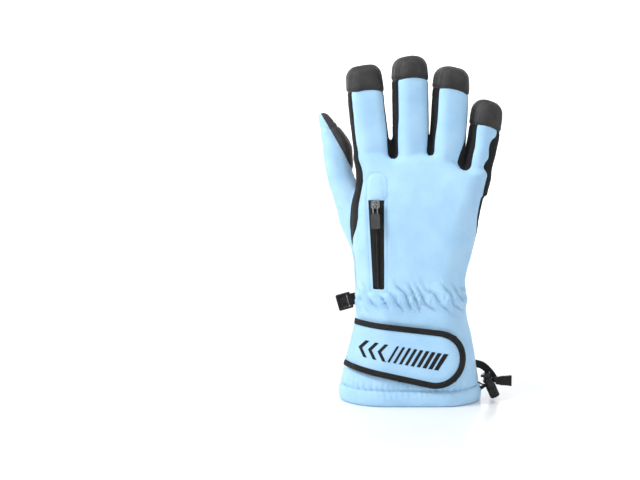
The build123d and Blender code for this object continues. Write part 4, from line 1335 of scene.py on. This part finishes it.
# ---------------------------------------------------------------- strap, its binding, print and patches
SPACING = 0.62
CUFF_R = 52                 # turns the spacing into a step of bearing
CUFF_SPAN = (math.radians(178), math.radians(338))


def cuff_grid(z_low, z_high):
    """A fine grid over the cuff's back, as even places with normals, and its triangles."""
    z = np.arange(z_low, z_high, SPACING)
    a = np.arange(*CUFF_SPAN, SPACING / CUFF_R)
    zz, aa = [g.ravel() for g in np.meshgrid(z, a, indexing="ij")]
    even, normal = ring_points(aa, zz)
    return np.concatenate([even, normal], 1), grid_faces(len(z), len(a)), len(a)


sheet, strap_tris, columns = cuff_grid(6, 72)


def strip(sheet, tris, fields):
    """The part of a sheet where every field is positive, with clean edges."""
    for function in fields:
        sheet, tris = cut(sheet, tris, function(sheet))
    centre = sheet[tris].mean(1)
    kept = np.ones(len(tris), bool)
    for function in fields:
        kept &= function(centre) > 0
    return compact(sheet, tris[kept])


def sewn_end(s):
    """How far a point is from the strap's sewn end, on its free side."""
    return np.where(s[:, 0] < -20, STRAP_SEWN_Y - s[:, 1], 30)


def strap_wave(s):
    """The strap's own slight unevenness."""
    return 0.22 * noise(s[:, :3], 21, 6.1) + 0.12 * noise(s[:, :3], 8, 1.1)


def on_strap(name, part, lift, tris, thickness, slot, nodes=()):
    return laid(name, part, lift, tris, thickness, slot, "cuff_strap", nodes, STRAP_BEND)


def crown(s):
    """Height of the strap's padded face."""
    return 3.15 + 0.55 * smooth(4.0, 9.0, strap_inset(s)) + strap_wave(s)


part, tris = strip(sheet, strap_tris, [lambda s: strap_inset(s) - 4.0, sewn_end])
end_dip = groove(sewn_end(part) - 2.4, 1.0, 0.35)
on_strap("strap_cloth", part, crown(part) + end_dip, tris, 1.25, "strap_blue", ["strap"])
part, tris = strip(sheet, strap_tris, [lambda s: strap_inset(s) - 0.8, sewn_end])
on_strap("strap_backing", part, 2.15, tris, 0.45, "binding_black", ["strap"])

binding = [lambda s: strap_inset(s) - 0.05, lambda s: BINDING_W + 0.05 - strap_inset(s), sewn_end]
part, tris = strip(sheet, strap_tris, binding)
inset = strap_inset(part)
bulge = np.sqrt(np.clip(1 - ((inset - 2.35) / 2.42) ** 4, 0, 1))
ribs = 0.035 * np.sin(part[:, 0] * 5.2)
top_face = 3.3 + 0.85 * bulge + strap_wave(part) + ribs - 0.18 * np.exp(-((inset - 3.5) / 0.35) ** 2)
on_strap("strap_edging", part, top_face, tris, top_face - 1.65, "binding_black", ["strap_binding"])
edging_rows = np.concatenate([raised(part, top_face), part[:, 3:6], part[:, :3]], 1)
for line in contours(edging_rows, tris, inset - 3.5):
    threads.run(("black", "cuff_strap"), line, 2.0, 0.7, 0.17, 0.06)

# A plain row of slanted bars and chevrons, printed on the strap
AXIS_TILT = math.radians(9.2)


def along_strap(s):
    dx, dz = s[:, 0] - STRAP_END[0], s[:, 2] - STRAP_END[1]
    along = dx * math.cos(AXIS_TILT) - dz * math.sin(AXIS_TILT)
    across = dx * math.sin(AXIS_TILT) + dz * math.cos(AXIS_TILT)
    return along, across


BAR_COUNT = 9
CHEVRONS = (-43.0, -49.5, -56.0)


def printed(s):
    """Positive inside the bars and chevrons."""
    along, across = along_strap(s)
    across = across + 1.5
    tall = 6.6 - np.abs(across)
    slanted = along - 0.42 * across
    marks = np.full(len(s), -9.0)
    for i in range(BAR_COUNT):
        share = i / (BAR_COUNT - 1)
        middle = 4.5 - 37.5 * share
        marks = np.maximum(marks, np.minimum(1.7 - 0.8 * share - np.abs(slanted - middle), tall))
    for middle in CHEVRONS:
        marks = np.maximum(marks, np.minimum(1.25 - np.abs(along - middle - 0.62 * np.abs(across)), tall))
    return marks


part, tris = strip(sheet, strap_tris, [printed, lambda s: strap_inset(s) - 7, sewn_end])
on_strap("strap_print", part, crown(part) + 0.16, tris, 0.3, "binding_black")


def hook_zone(s):
    """Positive where the strap's underside carries hooks."""
    return np.minimum(strap_inset(s) - (BINDING_W + 1.2), s[:, 0] + 4)


part, tris = strip(sheet, strap_tris, [hook_zone])
on_strap("hook_pad", part, 1.68, tris, 0.35, "hook_black", ["hook_patch"])
pitch = int(round(1.9 / SPACING))
spots = np.arange(len(sheet))
chosen = (spots // columns % pitch == 0) & (spots % columns % pitch == 0) & (hook_zone(sheet) > 0.8)
base = sheet[chosen]
hook_ends = raised(base, 0.98) + np.array((0, 0, 0.28))
hooks = capsules(raised(base, 1.36), hook_ends, np.tile((0, 0, 1.0), (len(base), 1)), 0.17, 0.1)
hook_rows = mesh_object("hook_rows", *hooks, MATERIALS["hook_black"])
finished(hook_rows, "cuff_strap", ends=STRAP_BEND)


def loop_zone(s):
    """Positive inside the round-cornered pad of loops on the cuff."""
    x, z = s[:, 0] - 11, s[:, 2] - 37
    qx, qz = np.abs(x) - 25 + 4, np.abs(z) - 18 + 4
    return 4 - np.hypot(np.maximum(qx, 0), np.maximum(qz, 0)) - np.minimum(np.maximum(qx, qz), 0)


part, tris = strip(sheet, strap_tris, [loop_zone])
pile = 0.72 + 0.08 * noise(part[:, :3], 1.3, 2.0) - 0.35 * np.exp(-loop_zone(part) / 0.8)
laid("loop_pad", part, pile, tris, 0.7, "loop_black", "glove", ["loop_patch"])

# ---------------------------------------------------------------- pocket zip


def front_grid(x_low, x_high, z_low, z_high, spacing):
    """A grid over the back of the hand, as even places with normals, and its triangles."""
    x, z = np.arange(x_low, x_high, spacing), np.arange(z_low, z_high, spacing)
    zz, xx = [g.ravel() for g in np.meshgrid(z, x, indexing="ij")]
    even, normal = front_points(xx, zz)
    return np.concatenate([even, normal], 1), grid_faces(len(z), len(x))


zip_sheet, zip_tris = front_grid(-36.5, -19, 88, 183, 0.5)


def zip_middle(z):
    t = (ZIP_TOP[1] - z) / (ZIP_TOP[1] - ZIP_BOTTOM[1])
    return ZIP_TOP[0] + t * (ZIP_BOTTOM[0] - ZIP_TOP[0])


for side_name, sign in (("left", -1), ("right", 1)):
    half = [lambda s: -zip_side(s, -0.02), lambda s: sign * (s[:, 0] - zip_middle(s[:, 2])) - 0.12]
    tape, tris = strip(zip_sheet, zip_tris, half)
    fold = 0.3 * np.exp(-((np.abs(tape[:, 0] - zip_middle(tape[:, 2])) - 1.9) / 0.45) ** 2)
    face = -0.42 + fold + 0.05 * np.sin(tape[:, 2] * 3.0)
    laid(f"zip_tape_{side_name}", tape, face, tris, 0.6, "zip_tape_black", "glove", ["zip_tapes"])
coil_z = np.arange(ZIP_BOTTOM[1] + 1.8, ZIP_TOP[1] - 0.8, 0.62)
coil_x = zip_middle(coil_z)
even, n = front_points(coil_x, coil_z)
side_way = unit(np.cross(n, np.array((0, 0, 1.0))))
swing = np.where(np.arange(len(coil_z)) % 2 == 0, 1, -1)[:, None]
middle = even + n * 0.42
coil = capsules(middle - side_way * 1.25 * swing, middle + side_way * 0.95 * swing, n, 0.36, 0.1)
zip_coil = mesh_object("zip_teeth", *coil, MATERIALS["zip_coil_black"])
finished(zip_coil, "glove", ["zip_coil"])

hood, tris = strip(zip_sheet, zip_tris, [lambda s: -hood_edge(s[:, 0], s[:, 2])])
inset = -hood_edge(hood[:, 0], hood[:, 2])
lift = 0.15 + 0.42 * smooth(0, 1.6, inset) - 0.16 * np.exp(-((inset - 1.9) / 0.5) ** 2)
laid("zip_hood", hood, lift, tris, lift + 0.9, "softshell_blue", "glove", ["zip_garage"])
hood_rows = np.concatenate([raised(hood, lift), hood[:, 3:6], hood[:, :3]], 1)
for line in contours(hood_rows, tris, inset - 1.9):
    threads.run(("pale", "glove"), line, 1.9, 0.6, 0.15, 0.02)

pocket, tris = front_grid(-32.5, 11.5, 98.5, 171.5, 2.0)
bag_depth = -1.45 + 0.1 * noise(pocket[:, :3], 12, 8.8)
laid("pocket_lining_bag", pocket, bag_depth, tris, 0.95, "pocket_fabric", "glove", ["pocket_bag"])

# ---------------------------------------------------------------- wrist elastic
ELASTIC_ROWS, ELASTIC_AROUND = 5, 220
z_rows = np.linspace(82.2, 89.8, ELASTIC_ROWS)
bearing = np.linspace(0, 2 * math.pi, ELASTIC_AROUND, endpoint=False)
zz, aa = [g.ravel() for g in np.meshgrid(z_rows, bearing, indexing="ij")]
even, normal = ring_points(aa, zz)
laid("elastic_band", np.concatenate([even, normal], 1), -1.5 + 0.12 * np.sin(aa * 70),
     grid_faces(ELASTIC_ROWS, ELASTIC_AROUND, True), 0.7, "elastic_white", "glove", ["wrist_elastic"])

# ---------------------------------------------------------------- drawcord, keeper tape and clip tape


def tube_mesh(name, path, radius, mat, sides=12):
    """A round tube along points in millimetres."""
    path = np.asarray(path, float)
    tangent = unit(np.gradient(path, axis=0))
    side = np.cross(tangent[0], (0, 1, 0.3))
    frames = []
    for t in tangent:
        side = side - t * side.dot(t)
        side = side / np.linalg.norm(side)
        frames.append((side, np.cross(t, side)))
    rings = []
    for i, (centre, (u, v)) in enumerate(zip(path, frames)):
        for k in range(sides):
            a = 2 * math.pi * k / sides
            braid = 1 + 0.05 * math.cos(2 * a + i * 1.3) * math.cos(2 * a - i * 1.3)
            rings.append(centre + radius * braid * (math.cos(a) * u + math.sin(a) * v))
    faces = []
    for i in range(len(path) - 1):
        for k in range(sides):
            a, b = i * sides + k, i * sides + (k + 1) % sides
            faces.append((a, b, b + sides, a + sides))
    count = len(rings)
    rings += [path[0], path[-1]]
    faces = [(f[0], f[1], f[2]) for f in faces] + [(f[0], f[2], f[3]) for f in faces]
    last = count - sides
    faces += [(count, (k + 1) % sides, k) for k in range(sides)]
    faces += [(count + 1, last + k, last + (k + 1) % sides) for k in range(sides)]
    return mesh_object(name, np.array(rings), faces, mat)


def nurbs_line(name, points):
    """The smooth line of a NURBS spline with these control points, in millimetres."""
    curve = bpy.data.curves.new(name, "CURVE")
    curve.dimensions = "3D"
    spline = curve.splines.new("NURBS")
    spline.points.add(len(points) - 1)
    for target, point in zip(spline.points, points):
        target.co = (*[c * MM for c in point], 1)
    spline.order_u = 3
    spline.use_endpoint_u = True
    spline.resolution_u = 10
    carrier = bpy.data.objects.new(name, curve)
    scene.collection.objects.link(carrier)
    bpy.context.view_layer.update()
    mesh = bpy.data.meshes.new_from_object(carrier)
    line = np.array([tuple(v.co) for v in mesh.vertices]) / MM
    bpy.data.objects.remove(carrier)
    bpy.data.meshes.remove(mesh)
    return line


CORD_ROUTE = [
    (54.6, -9.1, 9.2), (57.6, -9.2, 10.6), (60.4, -9.1, 11.7), (63.66, -9.1, 13.29), (67.75, -9.1, 15.18),
    (70.8, -8.8, 17.5), (74.4, -8.2, 18.5), (78.2, -8.0, 17.6), (79.6, -8.0, 15.2), (78.2, -8.0, 12.8),
    (74.4, -7.8, 11.9), (70.8, -7.2, 12.9), (67.75, -6.9, 15.18), (63.66, -6.9, 13.29), (60.4, -6.9, 10.6),
    (57.6, -6.8, 8.5), (54.6, -6.9, 6.7)]
cord_line = nurbs_line("cord_route", CORD_ROUTE)
cord = tube_mesh("drawcord_loop", cord_line, 0.9, MATERIALS["cord_black"])
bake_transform(cord)
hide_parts("drawcord")

a = np.linspace(0, 2 * math.pi, 140)
even, n = ring_points(a, np.full_like(a, 5.2))
hem_cord = tube_mesh("drawcord_in_hem", even - n * 3.9, 0.85, MATERIALS["cord_black"], 8)
finished(hem_cord, "glove")

RETAINER_ROUTE = [
    (54.2, -9.6, 14.6), (56.0, -9.8, 13.6), (58.2, -9.6, 12.3), (60.6, -8.8, 12.2), (62.2, -8.2, 12.9)]
thin = tube_mesh("lock_retainer", nurbs_line("thin_route", RETAINER_ROUTE), 0.62, MATERIALS["cord_black"], 8)
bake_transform(thin)

# The keeper tape's upper and lower edges, in X and Z
UPPER = np.array([(51.0, 31.6), (60, 29), (67, 22.5), (71.6, 15.5)])
LOWER = np.array([(51.0, 25.8), (57.5, 24), (63, 19), (67.4, 12.8)])
KEEPER_Y = -3.6
t = np.linspace(0, 3, 60)
upper, lower = through(np.arange(4.0), UPPER, t), through(np.arange(4.0), LOWER, t)
ROWS = 13
tape_points = []
for i in range(len(t)):
    for k in range(ROWS):
        share = k / (ROWS - 1)
        x, z = lower[i] + (upper[i] - lower[i]) * share
        rib = 0.05 * math.sin(i * 1.9) * math.cos(k * 2.4)
        edge = 0.12 * (abs(share - 0.5) > 0.42)
        tape_points.append((x, KEEPER_Y - edge - rib - 0.5 * math.sin(math.pi * t[i] / 3), z, 0, -1, 0))
laid("keeper_webbing", np.array(tape_points, float), 0, grid_faces(len(t), ROWS), 1.15,
     "webbing_black", "cord_end", ["keeper_tape"], ((59, -3, 27), (68.5, -3, 15)))

# The side clip's own directions
CLIP_SEAM = np.array((-43.6, 0, 80.8))
CLIP_OUT = np.array((-0.961262, 0, -0.275637))
CLIP_WIDE = np.array((-0.275637, 0, 0.961262))
CLIP_UP = np.array((0, 1.0, 0))


def on_clip(u, w, n):
    """Places given outward, along the seam and towards the palm from the clip's seam."""
    return CLIP_SEAM + np.outer(u, CLIP_OUT) + np.outer(w, CLIP_WIDE) + np.outer(n, CLIP_UP)


loop = [(-1.6, 0.45), (-0.4, 0.55), (0.9, 0.9), (1.9, 1.5), (2.9, 1.72)]
loop += [(4.1 + 1.72 * math.sin(a), 1.72 * math.cos(a)) for a in np.linspace(0, math.pi, 11)]
loop += [(u, -n) for u, n in reversed(loop[:5])]
loop = np.array(loop)
steps = np.arange(len(loop), dtype=float)
fine = np.linspace(0, len(loop) - 1, 90)
loop = through(steps, loop, fine)
heading = unit(np.gradient(loop, axis=0))
outward = np.stack([-heading[:, 1], heading[:, 0]], 1)
WIDE_ROWS = 15
points, normals = [], []
for i, ((u, n), (du, dn)) in enumerate(zip(loop, outward)):
    w = np.linspace(-4.5, 4.5, WIDE_ROWS)
    lift = 0.45 + 0.05 * math.sin(i * 1.7) * np.cos(np.arange(WIDE_ROWS) * 2.2)
    points.append(on_clip(u + du * lift, w, n + dn * lift))
    normals.append(np.tile(du * CLIP_OUT + dn * CLIP_UP, (WIDE_ROWS, 1)))
clip_sheet = np.concatenate([np.concatenate(points), np.concatenate(normals)], 1)
laid("clip_webbing", clip_sheet, 0, grid_faces(len(loop), WIDE_ROWS), 0.85,
     "webbing_black", "clip_loop", ["clip_tape"])

# The clip's sprung tongue: a crowned plate that fills the frame's window
U_LOW, U_HIGH, W_HALF = 6.4, 13.2, 4.8
ROWS_U, ROWS_W = 18, 18
unit_u, unit_w = np.linspace(-1, 1, ROWS_U), np.linspace(-1, 1, ROWS_W)
u, w = [g.ravel() for g in np.meshgrid(unit_u, unit_w, indexing="ij")]
rim = np.minimum(1 - np.abs(u), 1 - np.abs(w))
rise = 0.62 + 0.45 * np.sqrt(np.clip(rim * 5, 0, 1)) - 0.18 * np.clip(rim * 2.2 - 0.8, 0, 1)
middle_u = (U_LOW + U_HIGH) / 2 + u * (U_HIGH - U_LOW) / 2
tongue_points = np.concatenate([on_clip(middle_u, w * W_HALF, sign * rise) for sign in (1, -1)])
top_faces = grid_faces(ROWS_U, ROWS_W)
count = ROWS_U * ROWS_W
numbers = np.arange(count).reshape(ROWS_U, ROWS_W)
border = np.concatenate([numbers[0], numbers[1:, -1], numbers[-1, -2::-1], numbers[-2:0:-1, 0]])
following = np.roll(border, -1)
walls = np.concatenate([np.stack([border, border + count, following + count], 1),
                        np.stack([border, following + count, following], 1)])
tongue_faces = np.concatenate([top_faces, top_faces[:, ::-1] + count, walls])
tongue = mesh_object("clip_latch_tongue", tongue_points, tongue_faces, MATERIALS["clip_black"])
finished(tongue, "clip_latch", ["clip_tongue"])

# ---------------------------------------------------------------- finish
for name, obj in frame["nodes"].items():
    slot = NODE_SLOTS.get(name)
    if slot in MATERIALS:
        obj.data.materials.clear()
        obj.data.materials.append(MATERIALS[slot])

threads.finish()
